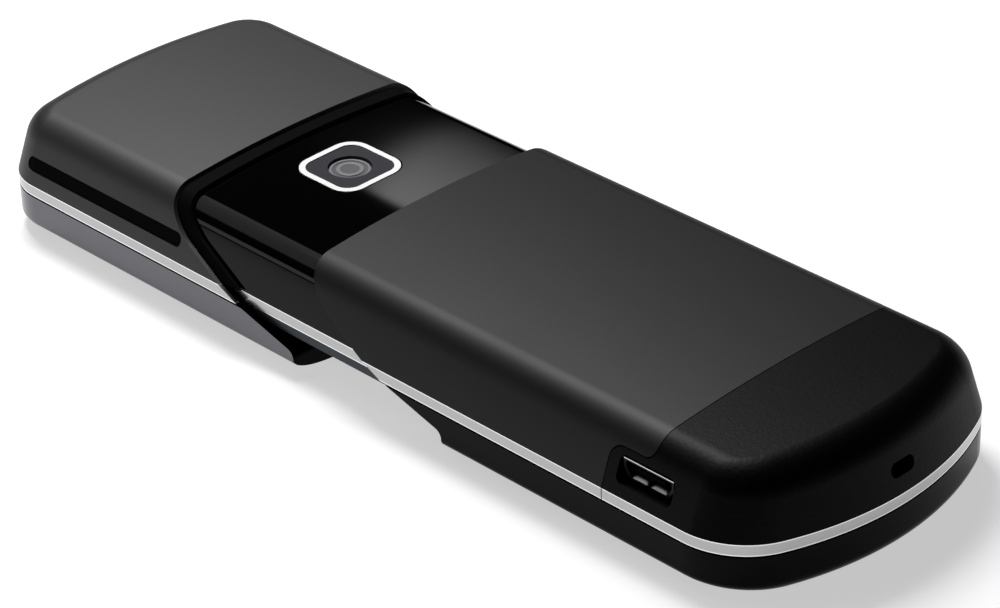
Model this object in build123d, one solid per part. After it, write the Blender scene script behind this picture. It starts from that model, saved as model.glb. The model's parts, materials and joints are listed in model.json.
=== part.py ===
from build123d import *
import os
from math import cos, hypot, pi, sin, sqrt

# A slider phone, lying face down with its slide open.
# +X runs across the phone, +Y towards the earpiece end and +Z up through the rear. The origin is the
# middle of the open outline, on the plane that the phone rests on.
# Every piece is modelled with the phone closed, with Y as a station measured from the bottom end.
# The slide's pieces then move out by the slide travel.

# Whole phone, closed
body_width = 45.0
closed_length = 108.0
body_thickness = 16.2
slide_travel = 25.0

# Plan outline: straight sides, a corner arc at each corner and a wide arc at each end
bottom_arc_radius = 42.0
bottom_corner_radius = 10.1
top_arc_radius = 119.0
top_corner_radius = 7.7

# Upright section: rounded front, upright belt, leaning walls, shoulder and crowned rear
front_round_side = 8.3
front_round_end = 4.1
front_round_height = 2.4
trim_low = 6.14
trim_height = 1.46
trim_seam = 0.25
lean_height = 4.1
side_lean = 1.48
end_lean = 0.97
shoulder_radius = 4.5
crown_radius = 220.0

# Walls and fits
skin_wall = 0.5
liner_wall = 0.4
running_gap = 0.15
fit_gap = 0.1
front_wall = 1.1
housing_wall = 1.2
margin = 4.0

# Side view of the joint between slide and body
parting_gap = 0.3
front_edge_drop = 3.8
front_edge_height = 3.4
ramp_run = 10.0
trim_edge_run = 3.1
rear_edge_run = 24.8
side_edge_slope = 0.42
side_sweep_radius = 8.9
liner_reach = 1.4
lap_gap = 0.1
lap_rise = 0.15

# Joint between battery cover and end cap, with the lobe round the port
seam_station = 18.6
seam_gap = 0.12
lobe_station = 24.6
lobe_height = 12.85
lobe_corner = 1.8
lobe_foot = 1.2
lobe_width = 10.5

# Front frame and the rails of the slide
frame_strip = 1.14
deck_wall = 0.85
frame_rim = 2.55
trim_wall = 0.5
deck_gap = 0.25
rail_side_gap = 2.5
rail_width = 0.5
rail_height = 1.25
rail_gap = 0.15
rail_liner_wall = 0.3
rail_start_gap = 7.3
rail_end_gap = 7.6
rail_liner_end_gap = 7.5
plate_wall = 0.4
plate_rim = 0.75
stop_side_gap = 10.5
stop_radius = 1.0
stop_end_gap = 4.0
stop_shank_radius = 0.7
stop_shank_length = 4.0
stop_gap = 0.1
stop_boss_half = 1.8
channel_start_gap = 2.3
mid_trim_start = 30.0

# Number keys on the deck
key_columns = 3
key_rows = 4
key_seam = 0.6
key_corner = 1.5
key_gap = 0.15
key_proud = 0.08
key_edge = 0.2
key_flange_wall = 0.15
key_travel = 0.3
first_row_edge = 1.25
keypad_rim = 4.3
keypad_side_gap = 0.5
keypad_end_gap = 1.4
dome_radius = 1.9
dome_height = 0.2
dome_sheet_wall = 0.1
dome_gap = 0.1

# Navigation keys on the chin
nav_edge_gap = 18.7
nav_recess = 0.3
ring_side_gap = 12.9
ring_face = 4.85
ring_wall = 1.2
ring_flange = 0.55
ring_flange_wall = 0.4
ring_dish = 0.25
carrier_inset = 2.8
carrier_wall = 0.3
carrier_hole_gap = 0.45
carrier_gap = 0.2
ring_dome_inset = 3.6
select_gap = 0.35
select_flange = 0.6
select_flange_wall = 0.15
chin_key_depth = 1.9
chin_key_flange_top = 1.8
chin_key_flange_wall = 0.35
chin_key_flange = 0.35
soft_key_width = 11.0
soft_key_length = 5.0
soft_key_side_gap = 9.9
soft_key_edge_gap = 5.9
call_key_width = 6.6
call_key_length = 11.0
call_key_side_gap = 7.9
chin_key_corner = 2.2
nav_board_wall = 0.6
nav_board_side_gap = 4.5
nav_board_screw_edge = 2.7
nav_board_edge_gap = 2.2

# Main board and what it carries
board_wall = 0.8
board_start_gap = 1.4
board_end_gap = 6.5
can_side_room = 13.0
can_length = 24.0
can_height = 2.0
can_wall = 0.25
can_corner = 0.6
can_side_gap = 10.5
can_end_gap = 20.0
motor_radius = 2.2
motor_length = 10.0
motor_end_gap = 11.0
motor_shaft_radius = 0.4
motor_weight_length = 3.0
motor_weight_drop = 0.6
motor_air = 0.5
motor_foot_width = 3.2

# Camera in the rear housing
camera_x = -0.7
camera_end_gap = 19.7
bezel_size = 10.5
bezel_corner = 2.8
bezel_band = 0.8
bezel_recess = 0.2
bezel_height = 0.7
window_recess = 0.12
window_seat = 0.65
window_seat_corner = 1.0
lens_radius = 2.7
lens_dome = 0.2
lens_recess = 0.4
lens_gap = 0.06
camera_body_size = 8.0
camera_body_height = 3.6
camera_plug_size = 6.0

# Battery bay
battery_side_gap = 5.5
battery_end_gap = 6.6
battery_head_gap = 0.39
battery_corner = 1.5
battery_gap = 0.3
bay_station = 27.4
bay_floor = 0.9
bay_low_wall = 3.4
bay_high_edge_gap = 2.3
sim_width = 17.0
sim_length = 27.0
sim_wall = 1.0
sim_bay_gap = 14.6
sim_card_width = 15.2
sim_card_length = 25.2
sim_card_wall = 0.75
sim_card_offset = 0.9
contact_width = 8.0
contact_length = 2.4
contact_height = 3.6
contact_pitch = 2.5
contact_blade = 0.8
contact_reach = 0.25
contact_blade_edge = 0.4

# Bottom end: port board, port, lanyard post, loudspeaker, microphone and screws
port_station = 19.0
port_height = 10.55
port_width = 7.4
port_thickness = 2.6
port_depth = 5.2
port_recess = 0.55
port_shell_wall = 0.3
port_shell_taper = 0.9
port_shell_turn = 0.1
port_tongue_width = 4.4
port_tongue_wall = 0.6
port_tongue_rise = 0.15
port_base_length = 1.0
port_base_width = 4.9
port_opening_width = 8.2
port_opening_height = 3.2
port_opening_corner = 0.9
port_board_low = 5.4
port_board_high = 23.4
port_board_inset = 3.2
lanyard_height = 10.5
lanyard_width = 3.8
lanyard_thickness = 1.8
lanyard_pocket_width = 5.2
lanyard_pocket_depth = 3.6
lanyard_pocket_height = 2.8
lanyard_post_radius = 0.6
lanyard_post_inset = 1.95
lanyard_pocket_corner = 0.6
lanyard_hole_corner = 0.85
screw_side_gap = 10.0
screw_nav_gap = 10.3
screw_radius = 0.7
screw_head_radius = 1.4
screw_head_height = 0.9
screw_head_seat = 2.6
screw_gap = 0.05
screw_tip = 2.6
screw_boss_radius = 2.3
screw_neck_radius = 1.5
screw_cross_length = 1.6
screw_cross_width = 0.4
screw_cross_depth = 0.4
post_radius = 1.6
board_post_radius = 1.0
board_post_inset = 1.6
board_post_step = 3.6
speaker_station = 11.0
speaker_side_gap = 14.5
speaker_length = 9.0
speaker_wall = 3.0
speaker_slot = 5.0
speaker_corner = 2.0
speaker_slot_width = 0.8
speaker_slot_pitch = 7.0
microphone_side_gap = 11.6
microphone_station = 9.5
microphone_radius = 2.0
microphone_wall = 1.3
microphone_hole_radius = 0.5

# Front of the slide
window_side_gap = 4.7
window_glass = 0.7
window_edge_gap = 2.0
window_end_gap = 3.0
window_corner = 2.4
window_ledge = 0.5
view_side_gap = 1.8
view_edge_gap = 4.1
view_end_gap = 10.7
display_side_gap = 0.55
display_rim = 1.0
display_wall = 2.2
display_corner = 0.8
display_gap = 0.3
earpiece_station_gap = 6.3
earpiece_width = 10.6
earpiece_length = 4.8
earpiece_wall = 1.9
earpiece_slot_width = 8.0
earpiece_slot_length = 1.1
slide_board_side_gap = 1.3
slide_board_length_gap = 5.0
slide_board_shift = 3.7
slide_board_wall = 0.55
slide_cavity_rim = 3.7
slide_cavity_gap = 7.1

# Side and end keys of the slide
volume_end_gap = 7.2
volume_edge_gap = 3.6
volume_height = 10.1
volume_width = 1.6
volume_recess = 0.12
volume_wall = 0.3
volume_gap = 0.12
volume_bridge = 3.0
power_side_gap = 13.5
power_height = 3.1
power_length = 9.0
power_width = 1.6
power_recess = 0.1
power_depth = 1.9
power_flange = 0.3
power_flange_wall = 0.3
power_corner = 0.78

# Values that follow from those above
open_length = closed_length + slide_travel
half_width = body_width / 2
front_edge_station = closed_length / 2 - front_edge_drop
rear_edge_station = front_edge_station + rear_edge_run
lobe_inner_x = half_width - lobe_width
trim_high = trim_low + trim_height
sleeve_wall = skin_wall + liner_wall
frame_inset = sleeve_wall + running_gap
shell_wall = frame_inset - fit_gap
shell_high = trim_low - trim_seam
deck_low = trim_low - frame_strip
deck_high = deck_low + deck_wall
plate_high = deck_low - deck_gap
plate_low = plate_high - plate_wall
pocket_inset = frame_inset + frame_rim
ramp_station = front_edge_station + ramp_run
trim_edge_station = ramp_station + trim_edge_run
rail_x = half_width - rail_side_gap
rail_start = front_edge_station + rail_start_gap
rail_end = closed_length - rail_end_gap
rail_liner_end = closed_length - rail_liner_end_gap
channel_start = front_edge_station + channel_start_gap
stop_x = half_width - stop_side_gap
stop_station = closed_length - stop_end_gap
keypad_notch_x = half_width - keypad_rim
key_pitch_x = 2 * (keypad_notch_x - keypad_side_gap) / key_columns
key_pitch_y = (slide_travel - keypad_end_gap) / key_rows
key_width = key_pitch_x - key_seam
key_length = key_pitch_y - key_seam
first_row = front_edge_station + slide_travel - first_row_edge - key_length / 2
key_face = deck_low - key_proud
board_high = trim_high
board_low = board_high - board_wall
key_base = board_low - dome_sheet_wall - dome_height - dome_gap - key_travel
can_x = half_width - can_side_gap
can_width = half_width - can_side_room
can_station = closed_length - can_end_gap
board_start = bay_station - board_start_gap
bay_low = trim_high + bay_floor
battery_low = bay_low + sim_wall
battery_width = body_width - 2 * battery_side_gap
battery_length = rear_edge_station - bay_station - battery_end_gap
sim_station = bay_station + sim_bay_gap
battery_crown_drop = crown_radius - sqrt(crown_radius**2 - (battery_width / 2) ** 2)
battery_high = body_thickness - shell_wall - battery_crown_drop - battery_head_gap
housing_top = body_thickness - frame_inset
camera_station = closed_length - camera_end_gap
port_board_top = port_height - port_thickness / 2
window_width = body_width - 2 * window_side_gap
window_start = front_edge_station + window_edge_gap
view_width = window_width - 2 * view_side_gap
view_length = closed_length - front_edge_station - view_edge_gap - view_end_gap
view_station = front_edge_station + view_edge_gap + view_length / 2
display_width = window_width - 2 * display_side_gap
display_length = view_length + 2 * display_rim
slide_board_width = window_width - 2 * slide_board_side_gap
slide_board_length = view_length - slide_board_length_gap
slide_board_station = view_station + slide_board_shift
slide_cavity_start = front_edge_station + slide_cavity_gap
slide_cavity_low = window_glass + window_ledge + display_wall
volume_length = closed_length - rear_edge_station - volume_edge_gap
volume_station = closed_length - volume_end_gap - volume_length / 2
power_x = power_side_gap - half_width
speaker_width = body_width - 2 * speaker_side_gap
microphone_x = microphone_side_gap - half_width
nav_station = front_edge_station - nav_edge_gap
ring_radius = half_width - ring_side_gap
ring_hole_radius = ring_radius - ring_face
ring_dome_radius = ring_radius - ring_dome_inset
select_radius = ring_hole_radius - select_gap
carrier_radius = ring_radius - carrier_inset
carrier_hole_radius = ring_hole_radius + carrier_hole_gap
soft_key_x = half_width - soft_key_side_gap
soft_key_station = front_edge_station - soft_key_edge_gap
call_key_x = half_width - call_key_side_gap
screw_x = half_width - screw_side_gap
screw_station = nav_station - screw_nav_gap
nav_board_width = body_width - 2 * nav_board_side_gap
nav_board_low = screw_station - nav_board_screw_edge
nav_board_high = front_edge_station - nav_board_edge_gap
nav_key_base = nav_recess + chin_key_depth
nav_dome_low = nav_key_base + key_travel + dome_gap
nav_board_face = nav_dome_low + dome_height
lean_ratio = side_lean / lean_height


def outline(side_inset, end_inset, height):
    """Plan outline, drawn in from the widest one by an amount at the sides and one at the ends."""
    half = half_width - side_inset
    corner_inset = (side_inset + end_inset) / 2
    halves = []
    for end_y, inward, arc, corner in (
        (closed_length - end_inset, -1, top_arc_radius, top_corner_radius),
        (end_inset, 1, bottom_arc_radius, bottom_corner_radius),
    ):
        arc_radius = arc - end_inset
        corner_radius = max(corner - corner_inset, 0.8)
        corner_x = half - corner_radius
        arc_y = end_y + inward * arc_radius
        corner_y = arc_y - inward * sqrt((arc_radius - corner_radius) ** 2 - corner_x**2)
        reach = arc_radius / (arc_radius - corner_radius)
        meet = (corner_x * reach, arc_y + (corner_y - arc_y) * reach)
        middle_x = half + meet[0] - 2 * corner_x
        middle_y = meet[1] - corner_y
        middle_reach = corner_radius / hypot(middle_x, middle_y)
        middle = (corner_x + middle_x * middle_reach, corner_y + middle_y * middle_reach)
        halves.append(((half, corner_y), middle, meet, (0, end_y)))
    (top_side, top_middle, top_meet, top_end), (low_side, low_middle, low_meet, low_end) = halves

    def at(point, side=1):
        return (side * point[0], point[1], height)

    return Wire(
        [
            Line(at(low_side), at(top_side)),
            ThreePointArc(at(top_side), at(top_middle), at(top_meet)),
            ThreePointArc(at(top_meet), at(top_end), at(top_meet, -1)),
            ThreePointArc(at(top_meet, -1), at(top_middle, -1), at(top_side, -1)),
            Line(at(top_side, -1), at(low_side, -1)),
            ThreePointArc(at(low_side, -1), at(low_middle, -1), at(low_meet, -1)),
            ThreePointArc(at(low_meet, -1), at(low_end), at(low_meet)),
            ThreePointArc(at(low_meet), at(low_middle), at(low_side)),
        ]
    )


def prism(inset, low, high):
    """Upright prism over the plan outline."""
    return Part() + Solid.extrude(Face(outline(inset, inset, low)), Vector(0, 0, high - low))


def rear_form(inset):
    """The rear half's form above the trim: leaning walls, round shoulder and crowned rear."""
    rise = (body_thickness + margin - trim_high) / lean_height
    foot = outline(inset, inset, trim_high)
    head = outline(inset + side_lean * rise, inset + end_lean * rise, body_thickness + margin)
    walls = Solid.make_loft([foot, head], True)
    crown_axis = Pos(0, closed_length / 2, body_thickness - inset - crown_radius) * Rot(90, 0, 0)
    crowned = (Part() + walls) & (crown_axis * Cylinder(crown_radius, closed_length + 2 * margin))
    shoulder_foot = trim_high + lean_height
    rim = [edge for edge in crowned.edges() if edge.center().Z > shoulder_foot]
    return Part() + fillet(rim, shoulder_radius - inset)


def front_form(inset, high):
    """The front half's form below the trim: an elliptical round up to the upright belt."""
    sections = []
    steps = 6
    for step in range(steps + 1):
        turn = pi / 2 * step / steps
        side = inset + front_round_side * (1 - sin(turn))
        end = inset + front_round_end * (1 - sin(turn))
        sections.append(outline(side, end, inset + front_round_height * (1 - cos(turn))))
    round_part = Solid.make_loft(sections)
    return Part() + round_part + prism(inset, inset + front_round_height, high)


def block(x_low, x_high, y_low, y_high, z_low, z_high):
    """Box between two corners."""
    corner = Pos((x_low + x_high) / 2, (y_low + y_high) / 2, (z_low + z_high) / 2)
    return corner * Box(x_high - x_low, y_high - y_low, z_high - z_low)


def across(y_low, y_high, z_low, z_high):
    """Box over the whole width of the phone."""
    return block(-half_width - margin, half_width + margin, y_low, y_high, z_low, z_high)


def pad(x, y, width, length, corner, z_low, z_high):
    """Upright prism over a rounded rectangle."""
    return extrude(Pos(x, y, z_low) * RectangleRounded(width, length, corner), z_high - z_low)


def disc(x, y, radius, z_low, z_high):
    """Upright cylinder."""
    return Pos(x, y, (z_low + z_high) / 2) * Cylinder(radius, z_high - z_low)


def side_pad(y, z, length, height, corner, x_low, x_high):
    """Prism across the phone over a rounded rectangle."""
    face = Plane(origin=(x_low, y, z), x_dir=(0, 1, 0), z_dir=(1, 0, 0))
    return extrude(face * RectangleRounded(length, height, corner), x_high - x_low)


def end_pad(x, z, width, height, corner, y_low, y_high):
    """Prism along the phone over a rounded rectangle."""
    face = Plane(origin=(x, y_low, z), x_dir=(-1, 0, 0), z_dir=(0, 1, 0))
    return extrude(face * RectangleRounded(width, height, corner), y_high - y_low)


def side_view_solid(edge, closing, x_low, x_high):
    """Solid across the phone from a side-view edge and the points that close it."""
    ends = [edge @ 1] + [Vector(0, y, z) for y, z in closing] + [edge @ 0]
    face = Face(Wire(list(edge.edges()) + list(Polyline(*ends).edges())))
    return Part() + Solid.extrude(Pos(x_low, 0, 0) * face, Vector(x_high - x_low, 0, 0))


def sleeve_edge(reach):
    """Side-view points of the parting edge above the trim, drawn out square to itself by a reach."""
    foot = trim_edge_station - reach * hypot(1, side_edge_slope) / side_edge_slope
    head = rear_edge_station - reach
    climb = side_edge_slope * (head - foot)
    return [(foot, trim_high), (head, trim_high + climb), (head, body_thickness + 2 * margin)]


def beyond_edge(points, radii, shift):
    """Everything on the slide's side of a side-view edge, moved along the phone by shift."""
    edge = FilletPolyline(*[(0, y + shift, z) for y, z in points], radius=radii)
    far = closed_length + 2 * margin
    closing = [(far, points[-1][1]), (far, points[0][1])]
    return side_view_solid(edge, closing, -half_width - margin, half_width + margin)


def beyond_parting(shift):
    """Everything on the slide's side of the parting edge."""
    points = [
        (front_edge_station, -margin),
        (front_edge_station, front_edge_height),
        (ramp_station, trim_low),
    ]
    return beyond_edge(points + sleeve_edge(0), [1.2, 0.6, 0.6, side_sweep_radius], shift)


def beyond_lap(reach, shift):
    """Everything above the trim on the slide's side of the parting edge, drawn out by a reach."""
    return beyond_edge(sleeve_edge(reach), [side_sweep_radius + reach], shift)


def cap_zone(gap):
    """Everything on the end cap's side of its seam, grown by a gap."""
    near = -half_width - margin
    edge = FilletPolyline(
        (0, seam_station + gap, body_thickness + margin),
        (0, seam_station + gap, lobe_height + gap),
        (0, lobe_station + gap, lobe_height + gap),
        (0, lobe_station + gap, -margin),
        radius=[lobe_foot, lobe_corner],
    )
    closing = [(-margin, -margin), (-margin, body_thickness + margin)]
    lobe_side = side_view_solid(edge, closing, near, -lobe_inner_x)
    plain_side = block(-lobe_inner_x, -near, -margin, seam_station + gap, -margin, body_thickness + margin)
    return lobe_side + plain_side


def belt(outer_inset, inner_inset):
    """Closed band round the phone at the trim's height."""
    return prism(outer_inset, trim_low, trim_high) - prism(inner_inset, trim_low, trim_high)


def wall_x(height, inset):
    """Distance from the middle to a leaning side wall."""
    return half_width - inset - lean_ratio * (height - trim_high)


rear_outer = rear_form(0)
rear_inner = rear_form(shell_wall)
housing_form = rear_form(frame_inset)
slide_side = beyond_parting(parting_gap)
body_side_cut = beyond_parting(0)


def key_places():
    """Name and middle of each number key, from the row nearest the slide."""
    names = ["1", "2", "3", "4", "5", "6", "7", "8", "9", "star", "0", "hash"]
    places = []
    for index, name in enumerate(names):
        row, column = divmod(index, key_columns)
        x = key_pitch_x * ((key_columns - 1) / 2 - column)
        places.append((name, x, first_row - key_pitch_y * row))
    return places


def front_frame():
    """Metal frame: the keypad deck with its rim, rail channels and screw holes."""
    rim = prism(frame_inset, deck_low, trim_low)
    rim += prism(frame_inset + trim_wall + fit_gap / 2, trim_low, trim_high)
    frame = rim - prism(pocket_inset, deck_high, trim_high)
    hole_width, hole_length = key_width + 2 * key_gap, key_length + 2 * key_gap
    for _, x, y in key_places():
        frame -= pad(x, y, hole_width, hole_length, key_corner, deck_low, deck_high)
    inner_half = rail_width / 2 + rail_gap
    inner_top = plate_high + rail_height + rail_gap
    outer_half, outer_top = inner_half + rail_liner_wall, inner_top + rail_liner_wall
    for side in (-1, 1):
        frame -= rail_channel(side, outer_half, outer_top, rail_liner_end)
        frame -= rail_channel(side, inner_half, inner_top, closed_length)
        frame -= disc(side * stop_x, stop_station, stop_shank_radius + screw_gap, deck_low, trim_high)
        frame -= disc(side * screw_x, screw_station, screw_radius + screw_gap, deck_low, deck_high)
    return frame


def rail_channel(side, half, top, end):
    """Block along one rail, from the deck's face."""
    return block(side * rail_x - half, side * rail_x + half, channel_start, end, deck_low, top)


def rail_liners():
    """Two channel liners of slippery plastic that the rails run in."""
    half = rail_width / 2 + rail_gap
    top = plate_high + rail_height + rail_gap
    liners = []
    for side in (-1, 1):
        outer = rail_channel(side, half + rail_liner_wall, top + rail_liner_wall, rail_liner_end)
        liners.append(outer - rail_channel(side, half, top, rail_liner_end))
    return liners


def mid_trim():
    """Silver band of the body, let into the frame's rim, that shows where the slide has run back."""
    band = belt(frame_inset, frame_inset + trim_wall)
    return band & across(mid_trim_start, closed_length, trim_low, trim_high)


def port_cut(x_low, x_high):
    """Rounded opening through the side walls at the port."""
    length, height = port_opening_width, port_opening_height
    return side_pad(port_station, port_height, length, height, port_opening_corner, x_low, x_high)


def housing_bosses():
    """Bosses for both pairs of screws, and the block round the lanyard's pocket."""
    stop_high = trim_high + stop_shank_length - deck_wall
    bosses = Part()
    for side in (-1, 1):
        bosses += disc(side * screw_x, screw_station, screw_neck_radius, trim_high, port_board_top)
        bosses += disc(side * screw_x, screw_station, screw_boss_radius, port_board_top, body_thickness)
        low_x, high_x = side * stop_x - stop_boss_half, side * stop_x + stop_boss_half
        bosses += block(low_x, high_x, stop_station - stop_boss_half, closed_length, trim_high, stop_high)
    half = lanyard_pocket_width / 2 + housing_wall
    rise = (lanyard_pocket_height + housing_wall) / 2
    depth = frame_inset + lanyard_pocket_depth + housing_wall / 2
    return bosses + block(-half, half, 0, depth, lanyard_height - rise, lanyard_height + rise)


def camera_opening():
    """Seat for the bezel and window, and the hole through it."""
    seat = bezel_size + 2 * bezel_recess
    seat_low = housing_top - bezel_height
    hole = bezel_size - 2 * bezel_band - 2 * window_seat
    corner = bezel_corner + bezel_recess
    opening = pad(camera_x, camera_station, seat, seat, corner, seat_low, body_thickness)
    hole_low = seat_low - housing_wall
    return opening + pad(camera_x, camera_station, hole, hole, window_seat_corner, hole_low, seat_low)


def battery_bay():
    """Pocket for the battery and its contact block."""
    bay_width = battery_width + 2 * battery_gap
    bay_length = battery_length + 2 * battery_gap
    bay_middle = bay_station + bay_length / 2
    bay = pad(0, bay_middle, bay_width, bay_length, battery_corner, bay_low, body_thickness)
    contact_half = contact_width / 2 + fit_gap
    contact_low = bay_station - contact_length - fit_gap
    return bay + block(-contact_half, contact_half, contact_low, bay_middle, bay_low, body_thickness)


def rear_housing():
    """Rear housing of the body with its camera opening, battery bay, port opening and screw bosses."""
    block_low, block_high = bay_station - bay_low_wall, rear_edge_station - bay_high_edge_gap
    middle_block = across(block_low, block_high, trim_high, body_thickness)
    housing = housing_form - (rear_form(frame_inset + housing_wall) - middle_block)
    housing += housing_bosses() & housing_form
    housing -= camera_opening() + battery_bay()
    housing -= port_cut(-half_width, -half_width + port_depth)
    pocket_width, pocket_height = lanyard_pocket_width, lanyard_pocket_height
    pocket_end = frame_inset + lanyard_pocket_depth
    housing -= end_pad(0, lanyard_height, pocket_width, pocket_height, lanyard_pocket_corner, 0, pocket_end)
    housing -= lanyard_post()
    head_seat = trim_high + screw_head_seat
    head_hole, screw_hole = screw_head_radius + fit_gap, screw_radius + screw_gap
    stop_hole = stop_shank_radius + screw_gap
    for side in (-1, 1):
        housing -= disc(side * screw_x, screw_station, screw_hole, trim_high, head_seat)
        housing -= disc(side * screw_x, screw_station, head_hole, head_seat, body_thickness)
        housing -= disc(side * stop_x, stop_station, stop_hole, trim_high, deck_low + stop_shank_length)
    return housing


def lanyard_post():
    """Steel post that a lanyard's loop goes round, set in the housing above and below its pocket."""
    reach = lanyard_pocket_height / 2 + housing_wall / 4
    middle = frame_inset + lanyard_post_inset
    return disc(0, middle, lanyard_post_radius, lanyard_height - reach, lanyard_height + reach)


def camera_bezel():
    """Rounded-square ring that is flush with the crowned housing."""
    inner = bezel_size - 2 * bezel_band
    seat_low = housing_top - bezel_height
    ring = pad(camera_x, camera_station, bezel_size, bezel_size, bezel_corner, seat_low, body_thickness)
    ring -= pad(camera_x, camera_station, inner, inner, bezel_corner - bezel_band, seat_low, body_thickness)
    return ring & housing_form


def camera_window():
    """Dark pane inside the bezel with a round hole for the lens."""
    size = bezel_size - 2 * bezel_band - fit_gap
    corner = bezel_corner - bezel_band
    low = housing_top - bezel_height
    pane = pad(camera_x, camera_station, size, size, corner, low, housing_top - window_recess)
    return pane - disc(camera_x, camera_station, lens_radius + lens_gap, low, housing_top)


def cap_ball(x, y, radius, rise, top, direction):
    """Ball whose cap of a given radius and rise has its crown at a height, on one side or the other."""
    ball_radius = (radius**2 + rise**2) / (2 * rise)
    return Pos(x, y, top - direction * ball_radius) * Sphere(ball_radius)


def camera_lens():
    """Front lens: a disc with a domed face, standing on the camera."""
    top = housing_top - lens_recess
    glass = disc(camera_x, camera_station, lens_radius, housing_top - housing_wall - fit_gap, top)
    return glass & cap_ball(camera_x, camera_station, lens_radius, lens_dome, top, 1)


def camera_module():
    """Camera body under the housing's roof, with its plug down to the main board."""
    top = housing_top - housing_wall - fit_gap
    low = top - camera_body_height
    body = pad(camera_x, camera_station, camera_body_size, camera_body_size, 0.6, low, top)
    plug = pad(camera_x, camera_station, camera_plug_size, camera_plug_size, 0.4, board_high, low)
    return body + plug


def end_cap():
    """Fixed cap round the bottom end, with the port's opening and the lanyard hole."""
    cap = (rear_outer - housing_form) & cap_zone(0)
    cap -= port_cut(-half_width - margin, -half_width + port_depth)
    width, height = lanyard_width, lanyard_thickness
    return cap - end_pad(0, lanyard_height, width, height, lanyard_hole_corner, -margin, margin)


def end_trim():
    """Silver trim round the bottom end."""
    return belt(0, frame_inset + trim_wall) & cap_zone(0)


def battery_cover():
    """Removable cover whose upper edge laps over the slide's liner when the phone is closed."""
    cover = rear_outer - rear_inner - cap_zone(seam_gap) - body_side_cut
    return cover - (rear_form(skin_wall - lap_gap) & beyond_lap(liner_reach + lap_gap, -parting_gap))


def cover_trims():
    """Two silver side trims that lift off with the battery cover."""
    return (belt(0, shell_wall) - cap_zone(seam_gap) - body_side_cut).solids()


def battery():
    """Flat battery in its bay."""
    middle = bay_station + battery_gap + battery_length / 2
    corner = battery_corner - battery_gap
    return pad(0, middle, battery_width, battery_length, corner, battery_low, battery_high)


def battery_contacts():
    """Contact block with three sprung blades that reach for the battery."""
    front = bay_station
    top = bay_low + contact_height
    contacts = block(-contact_width / 2, contact_width / 2, front - contact_length, front, bay_low, top)
    blade_low, blade_high = battery_low + contact_blade_edge, top - contact_blade_edge
    for step in (-1, 0, 1):
        middle = step * contact_pitch
        low, high = middle - contact_blade / 2, middle + contact_blade / 2
        contacts += block(low, high, front, front + contact_reach, blade_low, blade_high)
    return contacts


def sim_holder():
    """Card holder on the floor of the battery bay."""
    holder = pad(0, sim_station, sim_width, sim_length, 1.0, bay_low, bay_low + sim_wall)
    card_low = bay_low + sim_wall - sim_card_wall
    card_middle = sim_station + sim_card_offset
    card_high = bay_low + sim_wall
    return holder - pad(0, card_middle, sim_card_width, sim_card_length, can_corner, card_low, card_high)


def main_board():
    """Main circuit board between the frame and the housing."""
    board = prism(pocket_inset + fit_gap, board_low, board_high)
    return board & across(board_start, closed_length - board_end_gap, board_low, board_high)


def dome(x, y, face):
    """Snap dome that stands down from a face."""
    cap = disc(x, y, dome_radius, face - dome_height, face)
    return cap & cap_ball(x, y, dome_radius, dome_height, face - dome_height, -1)


def dome_sheet():
    """Sheet on the main board with a snap dome under each number key."""
    face = board_low - dome_sheet_wall
    length = key_rows * key_pitch_y
    middle = first_row - key_pitch_y * (key_rows - 1) / 2
    sheet = pad(0, middle, key_columns * key_pitch_x, length, 1.0, face, board_low)
    for _, x, y in key_places():
        sheet += dome(x, y, face)
    return sheet


def shield_cans():
    """Two open-bottomed steel cans over the main board's circuits."""
    cans = []
    top = board_high + can_height
    width, length, corner = can_width - 2 * can_wall, can_length - 2 * can_wall, can_corner - can_wall
    for side in (-1, 1):
        can = pad(side * can_x, can_station, can_width, can_length, can_corner, board_high, top)
        can -= pad(side * can_x, can_station, width, length, corner, board_high, top - can_wall)
        cans.append(can)
    return cans


def vibration_motor():
    """Small motor lying across the board on its foot, with its off-centre weight on one end."""
    station = closed_length - motor_end_gap
    height = board_high + motor_radius + fit_gap
    lying = Pos(0, station, height) * Rot(0, 90, 0)
    can_long = motor_length - motor_weight_length - motor_air
    half = motor_length / 2
    can = lying * Pos(0, 0, (can_long - motor_length) / 2) * Cylinder(motor_radius, can_long)
    foot_y = motor_foot_width / 2
    can += block(-half, can_long - half, station - foot_y, station + foot_y, board_high, height)
    can += lying * Cylinder(motor_shaft_radius, motor_length)
    weight = Cylinder(motor_radius - fit_gap, motor_weight_length)
    weight = Pos(0, 0, half - motor_weight_length / 2) * weight
    weight_low = height - motor_weight_drop
    return can + (lying * weight & across(station - margin, station + margin, weight_low, body_thickness))


def port_board():
    """Small board at the bottom end that carries the port."""
    low = port_board_top - board_wall
    board = prism(port_board_inset, low, port_board_top)
    board &= across(port_board_low, port_board_high, low, port_board_top)
    for side in (-1, 1):
        board -= disc(side * screw_x, screw_station, screw_neck_radius + fit_gap, low, port_board_top)
    return board


def port_mouth():
    """Distance across at which the port's shell begins."""
    return -wall_x(port_height, 0) + port_recess


def usb_tube(inset):
    """Prism over the port's outline, which is wider on its upper side."""
    face = Plane(origin=(port_mouth(), port_station, port_height), x_dir=(0, 1, 0), z_dir=(1, 0, 0))
    half = port_width / 2 - inset
    low_half = port_width / 2 - port_shell_taper - port_shell_taper * inset
    high, turn = port_thickness / 2 - inset, inset - port_shell_turn
    right = [(half, high), (half, turn), (low_half, -high)]
    left = [(-x, z) for x, z in reversed(right)]
    return extrude(face * make_face(Polyline(*right, *left, close=True)), port_depth)


def usb_shell():
    """Pressed steel shell of the port."""
    return usb_tube(0) - usb_tube(port_shell_wall)


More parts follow.
